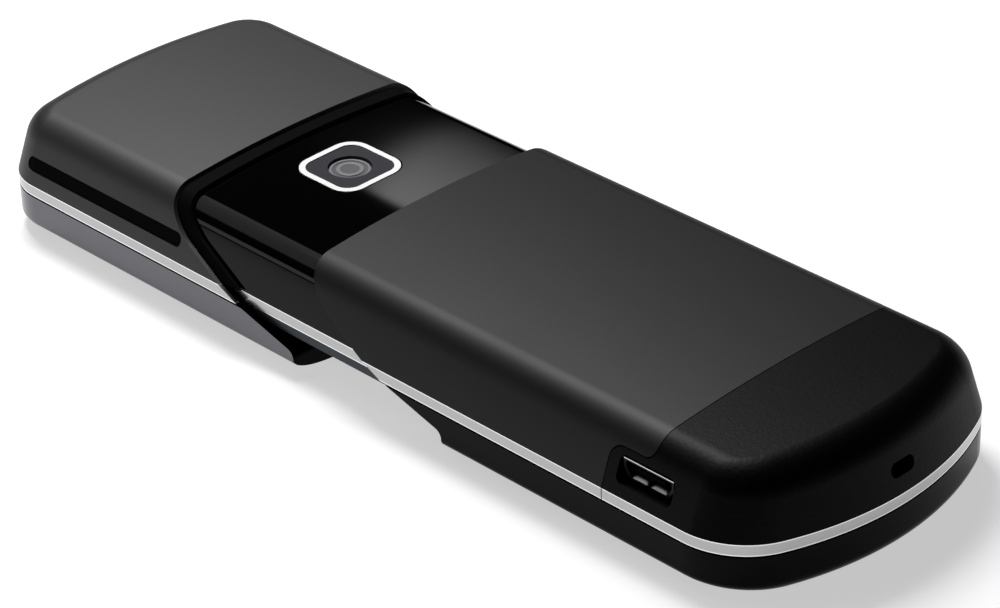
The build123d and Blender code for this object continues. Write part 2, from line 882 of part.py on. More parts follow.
def usb_tongue():
    """Plastic tongue that carries the port's contacts, on its base inside the shell."""
    near, far = port_mouth() + port_shell_wall, port_mouth() + port_depth
    half = port_tongue_width / 2
    middle = port_height + port_tongue_rise
    low, high = middle - port_tongue_wall / 2, middle + port_tongue_wall / 2
    tongue = block(near, far, port_station - half, port_station + half, low, high)
    half = port_base_width / 2
    rise = port_thickness / 2 - port_shell_wall
    low, high = port_height - rise, port_height + rise
    return tongue + block(far - port_base_length, far, port_station - half, port_station + half, low, high)


def housing_screws():
    """Two long screws that draw housing, frame and chin together."""
    seat = trim_high + screw_head_seat
    top = seat + screw_head_height
    arm, width, depth = screw_cross_length, screw_cross_width, 2 * screw_cross_depth
    screws = []
    for side in (-1, 1):
        head = disc(side * screw_x, screw_station, screw_head_radius, seat, top)
        head -= Pos(side * screw_x, screw_station, top) * (Box(arm, width, depth) + Box(width, arm, depth))
        screws.append(head + disc(side * screw_x, screw_station, screw_radius, screw_tip, seat))
    return screws


def stop_screws():
    """Two shoulder screws whose heads run in the slide plate's slots and stop the slide."""
    shank_top = deck_low + stop_shank_length - fit_gap
    screws = []
    for side in (-1, 1):
        head = disc(side * stop_x, stop_station, stop_radius, plate_low + stop_gap, deck_low)
        screws.append(head + disc(side * stop_x, stop_station, stop_shank_radius, deck_low, shank_top))
    return screws


def chin_key_shapes():
    """Name, middle and size of the four keys round the navigation ring."""
    return [
        ("soft_key_left", soft_key_x, soft_key_station, soft_key_width, soft_key_length),
        ("soft_key_right", -soft_key_x, soft_key_station, soft_key_width, soft_key_length),
        ("send_key", call_key_x, nav_station, call_key_width, call_key_length),
        ("end_key", -call_key_x, nav_station, call_key_width, call_key_length),
    ]


def board_post_places():
    """Where the chin's posts carry the navigation board."""
    side_y = (soft_key_station - soft_key_length / 2 + nav_station + call_key_length / 2) / 2
    side_x = soft_key_x + soft_key_width / 2 - board_post_inset
    low_x = screw_x - board_post_step
    low_y = nav_board_low + 2 * board_post_radius
    return [(0, soft_key_station), (side_x, side_y), (-side_x, side_y), (low_x, low_y), (-low_x, low_y)]


def chin_shell():
    """Front shell of the lower half, with its side horns, key openings and posts."""
    shell = front_form(0, shell_high) - body_side_cut
    far = closed_length
    cavity = front_form(front_wall, deck_low) - across(front_edge_station - front_wall, far, 0, far)
    shell -= cavity + prism(shell_wall, deck_low, shell_high)
    shell -= block(-keypad_notch_x, keypad_notch_x, front_edge_station, far, -margin, far)
    for x, y in board_post_places():
        shell += disc(x, y, board_post_radius, front_wall / 2, nav_board_face)
    for side in (-1, 1):
        shell += disc(side * screw_x, screw_station, post_radius, front_wall / 2, deck_low)
        shell -= disc(side * screw_x, screw_station, screw_radius + screw_gap, screw_tip - fit_gap, deck_low)
        slot = SlotOverall(speaker_slot, speaker_slot_width)
        shell -= extrude(Pos(side * speaker_slot_pitch / 2, speaker_station, 0) * slot, front_wall + fit_gap)
    shell -= disc(microphone_x, microphone_station, microphone_hole_radius, -margin, margin / 2)
    shell -= disc(0, nav_station, ring_radius + key_gap, -margin, margin / 2)
    for _, x, y, width, length in chin_key_shapes():
        hole_width, hole_length = width + 2 * key_gap, length + 2 * key_gap
        shell -= pad(x, y, hole_width, hole_length, chin_key_corner + key_gap, -margin, margin / 2)
    return shell


def chin_key(x, y, width, length):
    """Key whose face follows the chin's form, held in by a flange."""
    cap = pad(x, y, width, length, chin_key_corner, 0, nav_key_base) & front_form(nav_recess, trim_low)
    wide, long = width + 2 * chin_key_flange, length + 2 * chin_key_flange
    low = chin_key_flange_top
    high = low + chin_key_flange_wall
    return cap + pad(x, y, wide, long, chin_key_corner + chin_key_flange, low, high)


def nav_ring():
    """Dished four-way ring with a holding flange."""
    top = nav_recess
    flange_low = top + ring_wall
    flange_high = flange_low + ring_flange_wall
    flange_radius = ring_radius + ring_flange
    points = [
        (ring_hole_radius, 0, top + ring_dish),
        (ring_radius - key_edge, 0, top),
        (ring_radius, 0, top + key_edge),
        (ring_radius, 0, flange_low),
        (flange_radius, 0, flange_low),
        (flange_radius, 0, flange_high),
        (ring_hole_radius, 0, flange_high),
    ]
    return Pos(0, nav_station, 0) * revolve(make_face(Polyline(*points, close=True)), Axis.Z)


def nav_carrier():
    """Rocking ring under the navigation ring."""
    low = nav_recess + ring_wall + ring_flange_wall + carrier_gap
    carrier = disc(0, nav_station, carrier_radius, low, low + carrier_wall)
    return carrier - disc(0, nav_station, carrier_hole_radius, low, low + carrier_wall)


def nav_select():
    """Round select key in the middle of the ring."""
    key = disc(0, nav_station, select_radius, nav_recess, nav_key_base)
    rim = key.edges().filter_by(GeomType.CIRCLE).sort_by(Axis.Z)[0]
    flange_radius = select_radius + select_flange
    flange = disc(0, nav_station, flange_radius, nav_key_base - select_flange_wall, nav_key_base)
    return chamfer(rim, key_edge) + flange


def nav_board():
    """Board behind the chin's keys, with a snap dome for each of them."""
    high = nav_board_face + nav_board_wall
    length = nav_board_high - nav_board_low
    board = pad(0, (nav_board_high + nav_board_low) / 2, nav_board_width, length, 2.0, nav_board_face, high)
    for side in (-1, 1):
        board -= disc(side * screw_x, screw_station, post_radius + fit_gap, nav_board_face, high)
        board += dome(side * ring_dome_radius, nav_station, nav_board_face)
        board += dome(0, nav_station + side * ring_dome_radius, nav_board_face)
    board += dome(0, nav_station, nav_board_face)
    for _, x, y, _, _ in chin_key_shapes():
        board += dome(x, y, nav_board_face)
    return board


def number_key(x, y):
    """Number key with softened edges, held in the deck by its flange."""
    cap = pad(x, y, key_width, key_length, key_corner, key_face, key_base)
    face_rim = cap.faces().sort_by(Axis.Z)[0].edges()
    cap = fillet(face_rim, key_edge)
    flange_low = key_base - key_flange_wall
    width, length = key_pitch_x - key_gap, key_pitch_y - key_gap
    return cap + pad(x, y, width, length, key_corner, flange_low, key_base)


def loudspeaker():
    """Loudspeaker behind the slots in the chin."""
    high = front_wall + speaker_wall
    return pad(0, speaker_station, speaker_width, speaker_length, speaker_corner, front_wall, high)


def microphone():
    """Microphone capsule behind its hole in the chin."""
    high = front_wall + microphone_wall
    return disc(microphone_x, microphone_station, microphone_radius, front_wall, high)


def volume_slot(gap, x_high):
    """Stadium prism through the near side wall at the volume key."""
    low = -half_width - margin
    face = Plane(origin=(low, volume_station, volume_height), x_dir=(0, 1, 0), z_dir=(1, 0, 0))
    return extrude(face * SlotOverall(volume_length + 2 * gap, volume_width + 2 * gap), x_high - low)


def slide_rear_cover():
    """Outer skin of the slide, with the slot for the volume key."""
    skin = (rear_outer - rear_form(skin_wall)) & slide_side
    return skin - volume_slot(volume_gap, -body_width / 4)


def slide_liner():
    """Dark liner of the slide that runs on past the skin's edge, with windows behind the volume key."""
    liner = rear_form(skin_wall) - rear_form(sleeve_wall)
    reach = across(0, closed_length, trim_high + lap_rise, body_thickness)
    liner &= slide_side + (reach & beyond_lap(liner_reach, parting_gap))
    seam_band = prism(skin_wall, shell_high, trim_high) - prism(sleeve_wall, shell_high, trim_high)
    liner += seam_band & slide_side
    window = volume_slot(volume_gap, -body_width / 4)
    bridge_low, bridge_high = volume_station - volume_bridge / 2, volume_station + volume_bridge / 2
    return liner - (window - across(bridge_low, bridge_high, 0, body_thickness))


def slide_trim():
    """Silver trim round the slide."""
    return belt(0, skin_wall) & slide_side


def window_pad(gap, low, high):
    """Upright prism over the display window's outline."""
    end = closed_length - window_end_gap
    middle, length = (window_start + end) / 2, end - window_start
    return pad(0, middle, window_width + 2 * gap, length + 2 * gap, window_corner + gap, low, high)


def earpiece_slot(low, high):
    """Sound slot of the earpiece."""
    slot = SlotOverall(earpiece_slot_width, earpiece_slot_length)
    return extrude(Pos(0, closed_length - earpiece_station_gap, low) * slot, high - low)


def power_cut(gap, y_low, y_high):
    """Prism along the phone at the power key."""
    width, height = power_length + 2 * gap, power_width + 2 * gap
    return end_pad(power_x, power_height, width, height, power_corner + gap, y_low, y_high)


def slide_front_shell():
    """Front shell of the slide: a tray for the display with a rim that wraps round the body."""
    shell = front_form(0, shell_high) & slide_side
    shell -= prism(sleeve_wall, plate_high, shell_high)
    far = closed_length
    plate_seat = prism(sleeve_wall + plate_rim, plate_low, plate_high)
    cavity = prism(slide_cavity_rim, slide_cavity_low, plate_low)
    shell -= (plate_seat + cavity) & across(slide_cavity_start, far, 0, far)
    ledge_high = window_glass + window_ledge
    shell -= window_pad(fit_gap / 2, -margin, window_glass)
    shell -= pad(0, view_station, view_width, view_length, display_corner, 0, ledge_high)
    width, length = display_width + 2 * display_gap, display_length + 2 * display_gap
    shell -= pad(0, view_station, width, length, display_corner, ledge_high, slide_cavity_low)
    width, length = earpiece_width + 2 * fit_gap, earpiece_length + 2 * fit_gap
    ear_station = far - earpiece_station_gap
    shell -= pad(0, ear_station, width, length, display_corner, ledge_high, slide_cavity_low)
    shell -= earpiece_slot(-margin, ledge_high)
    flange_end = far - power_depth
    shell -= power_cut(volume_gap, flange_end, far + margin)
    pocket_low = far - slide_cavity_rim - fit_gap
    return shell - power_cut(power_flange + volume_gap, pocket_low, flange_end + volume_gap)


def display_window():
    """Glass over the display that carries on the shell's rounded front."""
    pane = window_pad(0, -margin, window_glass) & front_form(0, trim_low)
    return pane - earpiece_slot(-margin, window_glass)


def display_module():
    """Display behind the window."""
    low = window_glass + window_ledge
    return pad(0, view_station, display_width, display_length, display_corner, low, slide_cavity_low)


def earpiece():
    """Receiver capsule behind the sound slot."""
    low = window_glass + window_ledge
    station = closed_length - earpiece_station_gap
    return pad(0, station, earpiece_width, earpiece_length, display_corner, low, low + earpiece_wall)


def slide_board():
    """Thin board on the display's back."""
    low, high = slide_cavity_low, slide_cavity_low + slide_board_wall
    return pad(0, slide_board_station, slide_board_width, slide_board_length, display_corner, low, high)


def slide_plate():
    """Steel plate that closes the slide, with two folded rails and two stop slots."""
    plate = prism(sleeve_wall + plate_rim + fit_gap / 2, plate_low, plate_high)
    plate &= across(slide_cavity_start + fit_gap / 2, closed_length, 0, closed_length)
    clearance = 2 * (stop_radius + stop_gap)
    slot = Rot(0, 0, 90) * SlotOverall(slide_travel + clearance, clearance)
    middle = stop_station - slide_travel / 2
    for side in (-1, 1):
        low, high = side * rail_x - rail_width / 2, side * rail_x + rail_width / 2
        plate += block(low, high, rail_start, rail_end, plate_low, plate_high + rail_height)
        plate -= extrude(Pos(side * stop_x, middle, plate_low) * slot, plate_wall)
    return plate


def volume_key():
    """Thin rocker in the slide's side wall, just below its surface."""
    key = rear_form(volume_recess) - rear_form(volume_recess + volume_wall)
    return key & volume_slot(0, -body_width / 4)


def power_key():
    """Key in the slide's top end, held in by its flange."""
    flange_high = closed_length - power_depth
    cap = power_cut(0, flange_high, closed_length + margin) & front_form(power_recess, shell_high)
    return cap + power_cut(power_flange, flange_high - power_flange_wall, flange_high)


def body_nodes():
    """Nodes of the body half, by name."""
    nodes = {
        "front_frame": front_frame(),
        "rail_liners": rail_liners(),
        "mid_trim": mid_trim(),
        "rear_housing": rear_housing(),
        "lanyard_post": lanyard_post(),
        "camera_bezel": camera_bezel(),
        "camera_window": camera_window(),
        "camera_lens": camera_lens(),
        "camera_module": camera_module(),
        "end_cap": end_cap(),
        "end_trim": end_trim(),
        "battery_cover": battery_cover(),
        "cover_trims": cover_trims(),
        "battery": battery(),
        "battery_contacts": battery_contacts(),
        "sim_holder": sim_holder(),
        "main_board": main_board(),
        "dome_sheet": dome_sheet(),
        "shield_cans": shield_cans(),
        "vibration_motor": vibration_motor(),
        "port_board": port_board(),
        "usb_shell": usb_shell(),
        "usb_tongue": usb_tongue(),
        "housing_screws": housing_screws(),
        "stop_screws": stop_screws(),
        "chin_shell": chin_shell(),
        "nav_ring": nav_ring(),
        "nav_carrier": nav_carrier(),
        "nav_select": nav_select(),
        "nav_board": nav_board(),
        "loudspeaker": loudspeaker(),
        "microphone": microphone(),
    }
    for name, x, y, width, length in chin_key_shapes():
        nodes[name] = chin_key(x, y, width, length)
    for name, x, y in key_places():
        nodes["key_" + name] = number_key(x, y)
    return nodes


def slide_nodes():
    """Nodes of the slide, by name."""
    return {
        "slide_rear_cover": slide_rear_cover(),
        "slide_liner": slide_liner(),
        "slide_trim": slide_trim(),
        "slide_front_shell": slide_front_shell(),
        "display_window": display_window(),
        "display_module": display_module(),
        "earpiece": earpiece(),
        "slide_board": slide_board(),
        "slide_plate": slide_plate(),
        "volume_key": volume_key(),
        "power_key": power_key(),
    }


def write_nodes(nodes, start):
    """Write one file per node, with the bottom end's station put at a place along Y."""
    for name, shape in nodes.items():
        solids = shape if isinstance(shape, list) else shape.solids()
        placed = [Pos(0, start, 0) * solid for solid in solids]
        export_step(placed[0] if len(placed) == 1 else Compound(children=placed), "parts/" + name + ".step")


os.makedirs("parts", exist_ok=True)
write_nodes(body_nodes(), -open_length / 2)
write_nodes(slide_nodes(), slide_travel - open_length / 2)
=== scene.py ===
"""A slider phone, lying face down with its slide open, dressed for rendering.

All lengths are metres in the frame of the solids: +Y runs along the phone towards the earpiece end,
+Z goes up out of its rear, and the origin is the middle of the open outline on the resting plane.
"""

from __future__ import annotations

import json
import logging
import math
from dataclasses import dataclass, field
from enum import Enum

import bpy
import numpy as np
from mathutils import Matrix, Vector

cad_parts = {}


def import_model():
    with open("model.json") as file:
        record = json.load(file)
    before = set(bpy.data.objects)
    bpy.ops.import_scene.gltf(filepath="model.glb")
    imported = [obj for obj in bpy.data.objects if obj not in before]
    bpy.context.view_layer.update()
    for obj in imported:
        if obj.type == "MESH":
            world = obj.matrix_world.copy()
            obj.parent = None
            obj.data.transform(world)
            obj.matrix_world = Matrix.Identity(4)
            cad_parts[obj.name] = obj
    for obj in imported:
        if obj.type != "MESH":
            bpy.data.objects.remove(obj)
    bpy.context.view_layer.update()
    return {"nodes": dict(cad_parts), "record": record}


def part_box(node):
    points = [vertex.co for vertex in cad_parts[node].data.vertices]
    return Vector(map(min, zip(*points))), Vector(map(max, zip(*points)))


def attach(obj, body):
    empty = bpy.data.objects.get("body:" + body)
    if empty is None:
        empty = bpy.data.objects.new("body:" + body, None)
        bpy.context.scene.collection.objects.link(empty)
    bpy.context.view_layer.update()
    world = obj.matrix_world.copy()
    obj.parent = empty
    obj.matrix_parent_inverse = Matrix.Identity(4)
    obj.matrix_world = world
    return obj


LOG = logging.getLogger("slider_phone")
MM = 0.001
IMAGE_WIDTH = 1000
IMAGE_HEIGHT = 608
Colour = tuple[float, float, float]


class Pattern(Enum):
    """Surface detail that a finish carries."""

    SMOOTH = "smooth"
    GRAINED = "fine moulded grain"
    BRUSHED_ALONG = "brushed along the phone"
    BRUSHED_UPRIGHT = "brushed upright"


@dataclass(frozen=True)
class Finish:
    """A surface finish, with its colour and the way it takes light.

    Args:
        name: what the finish is called.
        colour: plain colour, linear red, green and blue.
        roughness: middle roughness.
        metallic: 1 for bare metal and flake lacquer, 0 for plastic and glass.
        specular: specular level, 0.5 for common plastic.
        coat: weight of a clear coat.
        pattern: which surface detail it carries.
        grain_scale: how fine the detail is, per metre.
        grain_height: depth of the detail in metres.
        drift: share by which roughness drifts over the surface.
        tone: share by which colour drifts over the surface.
        inset: how far inside the phone's rear form the surface lies, or None for other surfaces.
        cut: colour painted as shade on the faces that look up or back or, with lips, on all between them, or
            None.
        lips: heights of a band's lower and upper edge, each picked out by a line, or None.
        edge_highlight: colour of these lines, a painted highlight, or None for the finish's own.
    """

    name: str
    colour: Colour
    roughness: float
    metallic: float = 0.0
    specular: float = 0.5
    coat: float = 0.0
    pattern: Pattern = Pattern.SMOOTH
    grain_scale: float = 4000.0
    grain_height: float = 0.000004
    drift: float = 0.12
    tone: float = 0.06
    inset: float | None = None
    cut: Colour | None = None
    lips: tuple[float, float] | None = None
    edge_highlight: Colour | None = None


@dataclass(frozen=True)
class RearForm:
    """Section of the phone's rear: a leaning wall, a round shoulder and a crown.

    Args:
        half_width: half the width at the trim.
        trim_high: height of the wall's foot.
        lean: how far the wall leans in for each metre of height.
        shoulder_radius: radius of the outermost shoulder.
        crown_radius: radius of the crown.
        thickness: height of the crown's middle.
        bow: how far the wall's foot bows back towards upright, in radians.
    """

    half_width: float = 22.5 * MM
    trim_high: float = 7.6 * MM
    lean: float = 1.48 / 4.1
    shoulder_radius: float = 4.5 * MM
    crown_radius: float = 220.0 * MM
    thickness: float = 16.2 * MM
    bow: float = 0.12

    def centres(self, inset: float) -> tuple[float, float, float]:
        """Finds the centres of the shoulder and of the crown.

        The shoulder's centre lies its radius inside the wall, on the line x = a - lean z, and as far
        inside the crown, on a circle about the crown's centre. Substituting one in the other leaves a
        quadratic in z.

        Args:
            inset: how far inside the outermost form the surface lies.

        Returns:
            Shoulder centre across and up, and the crown centre's height.
        """
        radius = self.shoulder_radius - inset
        crown_z = self.thickness - inset - self.crown_radius
        reach = self.half_width - inset - radius * math.hypot(1, self.lean) + self.lean * self.trim_high
        inner = self.crown_radius - radius
        square = 1 + self.lean**2
        half = self.lean * reach + crown_z
        rest = reach**2 + crown_z**2 - inner**2
        height = (half + math.sqrt(half**2 - square * rest)) / square
        return reach - self.lean * height, height, crown_z


class Wires:
    """Adds nodes to one tree and joins them."""

    def __init__(self, tree: bpy.types.ShaderNodeTree) -> None:
        """Keeps the tree.

        Args:
            tree: the nodes to add to.
        """
        self.tree = tree

    def feed(self, socket: bpy.types.NodeSocket, value: object) -> None:
        """Links a socket to an input, or sets the input to a number or a vector.

        Args:
            socket: the input.
            value: a socket, a number or a vector.
        """
        if isinstance(value, bpy.types.NodeSocket):
            self.tree.links.new(value, socket)
        else:
            socket.default_value = value

    def fill(self, node: bpy.types.Node, values: dict[str, object]) -> None:
        """Feeds a node's inputs by name."""
        for label, value in values.items():
            self.feed(node.inputs[label], value)

    def add(self, kind: str, *values: object, **settings: object) -> bpy.types.Node:
        """Adds a node, sets its properties and feeds its first inputs.

        Args:
            kind: the node's type, without its ShaderNode prefix.
            values: sockets, numbers or vectors for the first inputs.
            settings: properties by name.

        Returns:
            The node.
        """
        node = self.tree.nodes.new("ShaderNode" + kind)
        for name, value in settings.items():
            setattr(node, name, value)
        for socket, value in zip(node.inputs, values):
            self.feed(socket, value)
        return node

    def math(self, operation: str, *values: object, clamp: bool = False) -> bpy.types.NodeSocket:
        """Works one sum.

        Args:
            operation: the Math node's operation.
            values: sockets or numbers.
            clamp: keeps the result between 0 and 1.

        Returns:
            The result.
        """
        return self.add("Math", *values, operation=operation, use_clamp=clamp).outputs[0]

    def vector(self, operation: str, *values: object, out: str = "Vector") -> bpy.types.NodeSocket:
        """Works one vector sum.

        Args:
            operation: the Vector Math node's operation.
            values: sockets or vectors.
            out: the output wanted.

        Returns:
            The result.
        """
        return self.add("VectorMath", *values, operation=operation).outputs[out]

    def step(self, value: object, start: float, end: float, top: object = 1.0) -> bpy.types.NodeSocket:
        """Smooth step of a value from 0 at a start to a top at an end.

        Args:
            value: the value.
            start: where the step starts.
            end: where it ends, above or below the start.
            top: height of the step.

        Returns:
            The stepped value.
        """
        node = self.add("MapRange", interpolation_type="SMOOTHSTEP")
        self.fill(node, {"Value": value, "From Min": start, "From Max": end, "To Max": top})
        return node.outputs["Result"]

    def split(self, value: bpy.types.NodeSocket) -> list[bpy.types.NodeSocket]:
        """Gives the three parts of a vector."""
        return list(self.add("SeparateXYZ", value).outputs)

    def join(self, x: object, y: object, z: object) -> bpy.types.NodeSocket:
        """Gives the vector of three parts."""
        return self.add("CombineXYZ", x, y, z).outputs[0]

    def blend(self, share: object, first: object, second: object) -> bpy.types.NodeSocket:
        """Mixes two colours.

        Args:
            share: share of the second.
            first: first colour.
            second: second colour.

        Returns:
            The mixed colour.
        """
        return self.add("MixRGB", share, first, second).outputs[0]

    def noise(self, place: object, scale: object, detail: float) -> bpy.types.NodeSocket:
        """Adds a noise texture.

        Args:
            place: coordinates.
            scale: how fine it is, per metre.
            detail: number of octaves.

        Returns:
            The noise from 0 to 1.
        """
        node = self.add("TexNoise")
        self.fill(node, {"Vector": place, "Scale": scale, "Detail": detail})
        return node.outputs["Fac"]

    def place(self, group: bpy.types.ShaderNodeTree, **values: object) -> bpy.types.NodeSocket:
        """Places a group with its own values.

        Args:
            group: the group to place.
            values: input values by name, with _ for a space.

        Returns:
            The group's one output.
        """
        node = self.add("Group", node_tree=group)
        self.fill(node, {label.replace("_", " "): value for label, value in values.items()})
        return node.outputs[0]

    def object_place(self) -> bpy.types.NodeSocket:
        """Gives the object coordinates."""
        return self.add("TexCoord").outputs["Object"]


class NodeGroups:
    """Shader node groups that several finishes share.

    Attributes:
        CLOUDS: how fine the slow drift of colour is, per metre.
        MOTTLE: how fine its quick part is, per metre.
        TOPS: power that rounds the grain's tops.
        LINE: distance from an edge, in line widths, at which a line starts and is full.
        ALIKE: cosine between the mesh's normal and the section's where the section's starts and is full.
        STRAIGHT: part of the mesh's normal along the phone, in the same way.
    """

    CLOUDS = 45.0
    MOTTLE = 2600.0
    TOPS = 0.6
    LINE = (1.0, 0.3)
    ALIKE = (0.9, 0.95)
    STRAIGHT = (0.12, 0.03)

    def __init__(self) -> None:
        """Builds each group once."""
        self.roughness = self._roughness()
        self.tone = self._tone()
        self.grain = self._grain()
        self.brush = self._brush()
        self.form = self._form()
        self.band = self._band()

    @staticmethod
    def _new(name: str, inputs: dict[str, object], output: tuple[str, str]) -> tuple[Wires, dict, object]:
        """Makes an empty group with its sockets.

        Args:
            name: the group's name.
            inputs: default value of each input by name, a number or a colour.
            output: name and kind of its output.

        Returns:
            Its wires, its inputs by name and the socket that takes its result.
        """
        tree = bpy.data.node_groups.new(name, "ShaderNodeTree")
        for label, value in inputs.items():
            kind = "Color" if isinstance(value, tuple) else "Float"
            socket = tree.interface.new_socket(label, in_out="INPUT", socket_type="NodeSocket" + kind)
            socket.default_value = value
        tree.interface.new_socket(output[0], in_out="OUTPUT", socket_type="NodeSocket" + output[1])
        entry, result = tree.nodes.new("NodeGroupInput"), tree.nodes.new("NodeGroupOutput")
        return Wires(tree), {label: entry.outputs[label] for label in inputs}, result.inputs[0]

    def _roughness(self) -> bpy.types.ShaderNodeTree:
        """Slow drift of roughness, as on a surface that has been handled and wiped.

        Returns:
            A group that gives roughness, its middle value times one plus the share of centred noise.
        """
        wires, given, result = self._new(
            "Handling drift", {"Roughness": 0.4, "Share": 0.1, "Scale": 70.0}, ("Roughness", "Float")
        )
        noise = wires.noise(wires.object_place(), given["Scale"], 3.0)
        centred = wires.math("SUBTRACT", noise, 0.5)
        share = wires.math("MULTIPLY_ADD", centred, given["Share"], 1.0)
        wires.feed(result, wires.math("MULTIPLY", share, given["Roughness"], clamp=True))
        return wires.tree

    def _tone(self) -> bpy.types.ShaderNodeTree:
        """Drift of colour: slow clouds with a fine mottle over them.

        Returns:
            A group that gives the colour times one plus the share of centred noise.
        """
        wires, given, result = self._new(
            "Tone drift", {"Colour": (0.5, 0.5, 0.5, 1.0), "Share": 0.06}, ("Colour", "Color")
        )
        place = wires.object_place()
        both = wires.math("ADD", wires.noise(place, self.CLOUDS, 2.0), wires.noise(place, self.MOTTLE, 1.0))
        level = wires.math("MULTIPLY_ADD", wires.math("SUBTRACT", both, 1.0), given["Share"], 1.0)
        wires.feed(result, wires.vector("MULTIPLY", given["Colour"], wires.join(level, level, level)))
        return wires.tree

    def _grain(self) -> bpy.types.ShaderNodeTree:
        """Fine moulded grain: noise with rounded tops.

        Returns:
            A group that gives the grain's height from 0 to 1.
        """
        wires, given, result = self._new("Moulded grain", {"Scale": 4000.0}, ("Height", "Float"))
        noise = wires.noise(wires.object_place(), given["Scale"], 1.5)
        wires.feed(result, wires.math("POWER", noise, self.TOPS))
        return wires.tree

    def _brush(self) -> bpy.types.ShaderNodeTree:
        """Brushed metal: noise drawn out along the phone or upright.

        Returns:
            A group that gives the marks' height from 0 to 1.
        """
        wires, given, result = self._new(
            "Brush marks", {"Scale": 3000.0, "Along": 0.02, "Upright": 1.0}, ("Height", "Float")
        )
        stretch = wires.join(1.0, given["Along"], given["Upright"])
        stretched = wires.vector("MULTIPLY", wires.object_place(), stretch)
        wires.feed(result, wires.noise(stretched, given["Scale"], 2.0))
        return wires.tree

    def _band(self) -> bpy.types.ShaderNodeTree:
        """Mask for painted highlight lines along the upper and lower edge of a band, or for lips left in the
        own colour between painted shade.

        Returns:
            A group that is 1 on each edge and fades over the line's width.
        """
        wires, given, result = self._new(
            "Lit edge lines", {"Low": 0.0, "High": 1.0, "Width": 0.0002}, ("Mask", "Float")
        )
        height = wires.split(wires.object_place())[2]
        below = wires.math("SUBTRACT", height, given["Low"])
        above = wires.math("SUBTRACT", given["High"], height)
        near = wires.math("DIVIDE", wires.math("MINIMUM", below, above), given["Width"])
        wires.feed(result, wires.step(near, *self.LINE))
        return wires.tree

    def _form(self) -> bpy.types.ShaderNodeTree:
        """True normal of the phone's rear section, in place of the one between facets.

        The shoulder's normal points from its centre to the surface. Below the shoulder it is held at the
        wall's lean, less a slight bow towards the foot, and past the shoulder it is the crown's. The mesh's
        own normal stays on every surface that doesn't lie along this section.

        Returns:
            A group that gives the normal.
        """
        wires, given, result = self._new(
            "Form normal", {"Centre across": 0.018, "Centre up": 0.011, "Crown up": -0.2, "Bow": 0.1},
            ("Normal", "Vector"),
        )
        source = wires.add("TexCoord")
        x, _, z = wires.split(source.outputs["Object"])
        across, side = wires.math("ABSOLUTE", x), wires.math("SIGN", x)
        turn = wires.math(
            "ARCTAN2",
            wires.math("SUBTRACT", z, given["Centre up"]),
            wires.math("SUBTRACT", across, given["Centre across"]),
        )
        lean = math.atan(RearForm.lean)
        fall = wires.math("SUBTRACT", lean, turn, clamp=True)
        wall = wires.math("SUBTRACT", lean, wires.math("MULTIPLY", fall, given["Bow"]))
        crown = wires.math("ARCTAN2", wires.math("SUBTRACT", z, given["Crown up"]), across)
        rise = wires.math("MINIMUM", wires.math("MAXIMUM", wall, turn), crown)
        level = wires.math("MULTIPLY", side, wires.math("COSINE", rise))
        ideal = wires.join(level, 0.0, wires.math("SINE", rise))
        own = source.outputs["Normal"]
        alike = wires.step(wires.vector("DOT_PRODUCT", own, ideal, out="Value"), *self.ALIKE)
        straight = wires.step(wires.math("ABSOLUTE", wires.split(own)[1]), *self.STRAIGHT)
        share = wires.math("MULTIPLY", alike, straight)
        # A Mix node has sockets for each kind of data: inputs 4 and 5 and output 1 are the vector's.
        mixed = wires.add("Mix", data_type="VECTOR")
        wires.feed(mixed.inputs[0], share)
        wires.feed(mixed.inputs[4], own)
        wires.feed(mixed.inputs[5], ideal)
        turned = wires.add("VectorTransform", vector_type="NORMAL", convert_from="OBJECT", convert_to="WORLD")
        wires.feed(turned.inputs[0], mixed.outputs[1])
        wires.feed(result, wires.vector("NORMALIZE", turned.outputs[0]))
        return wires.tree


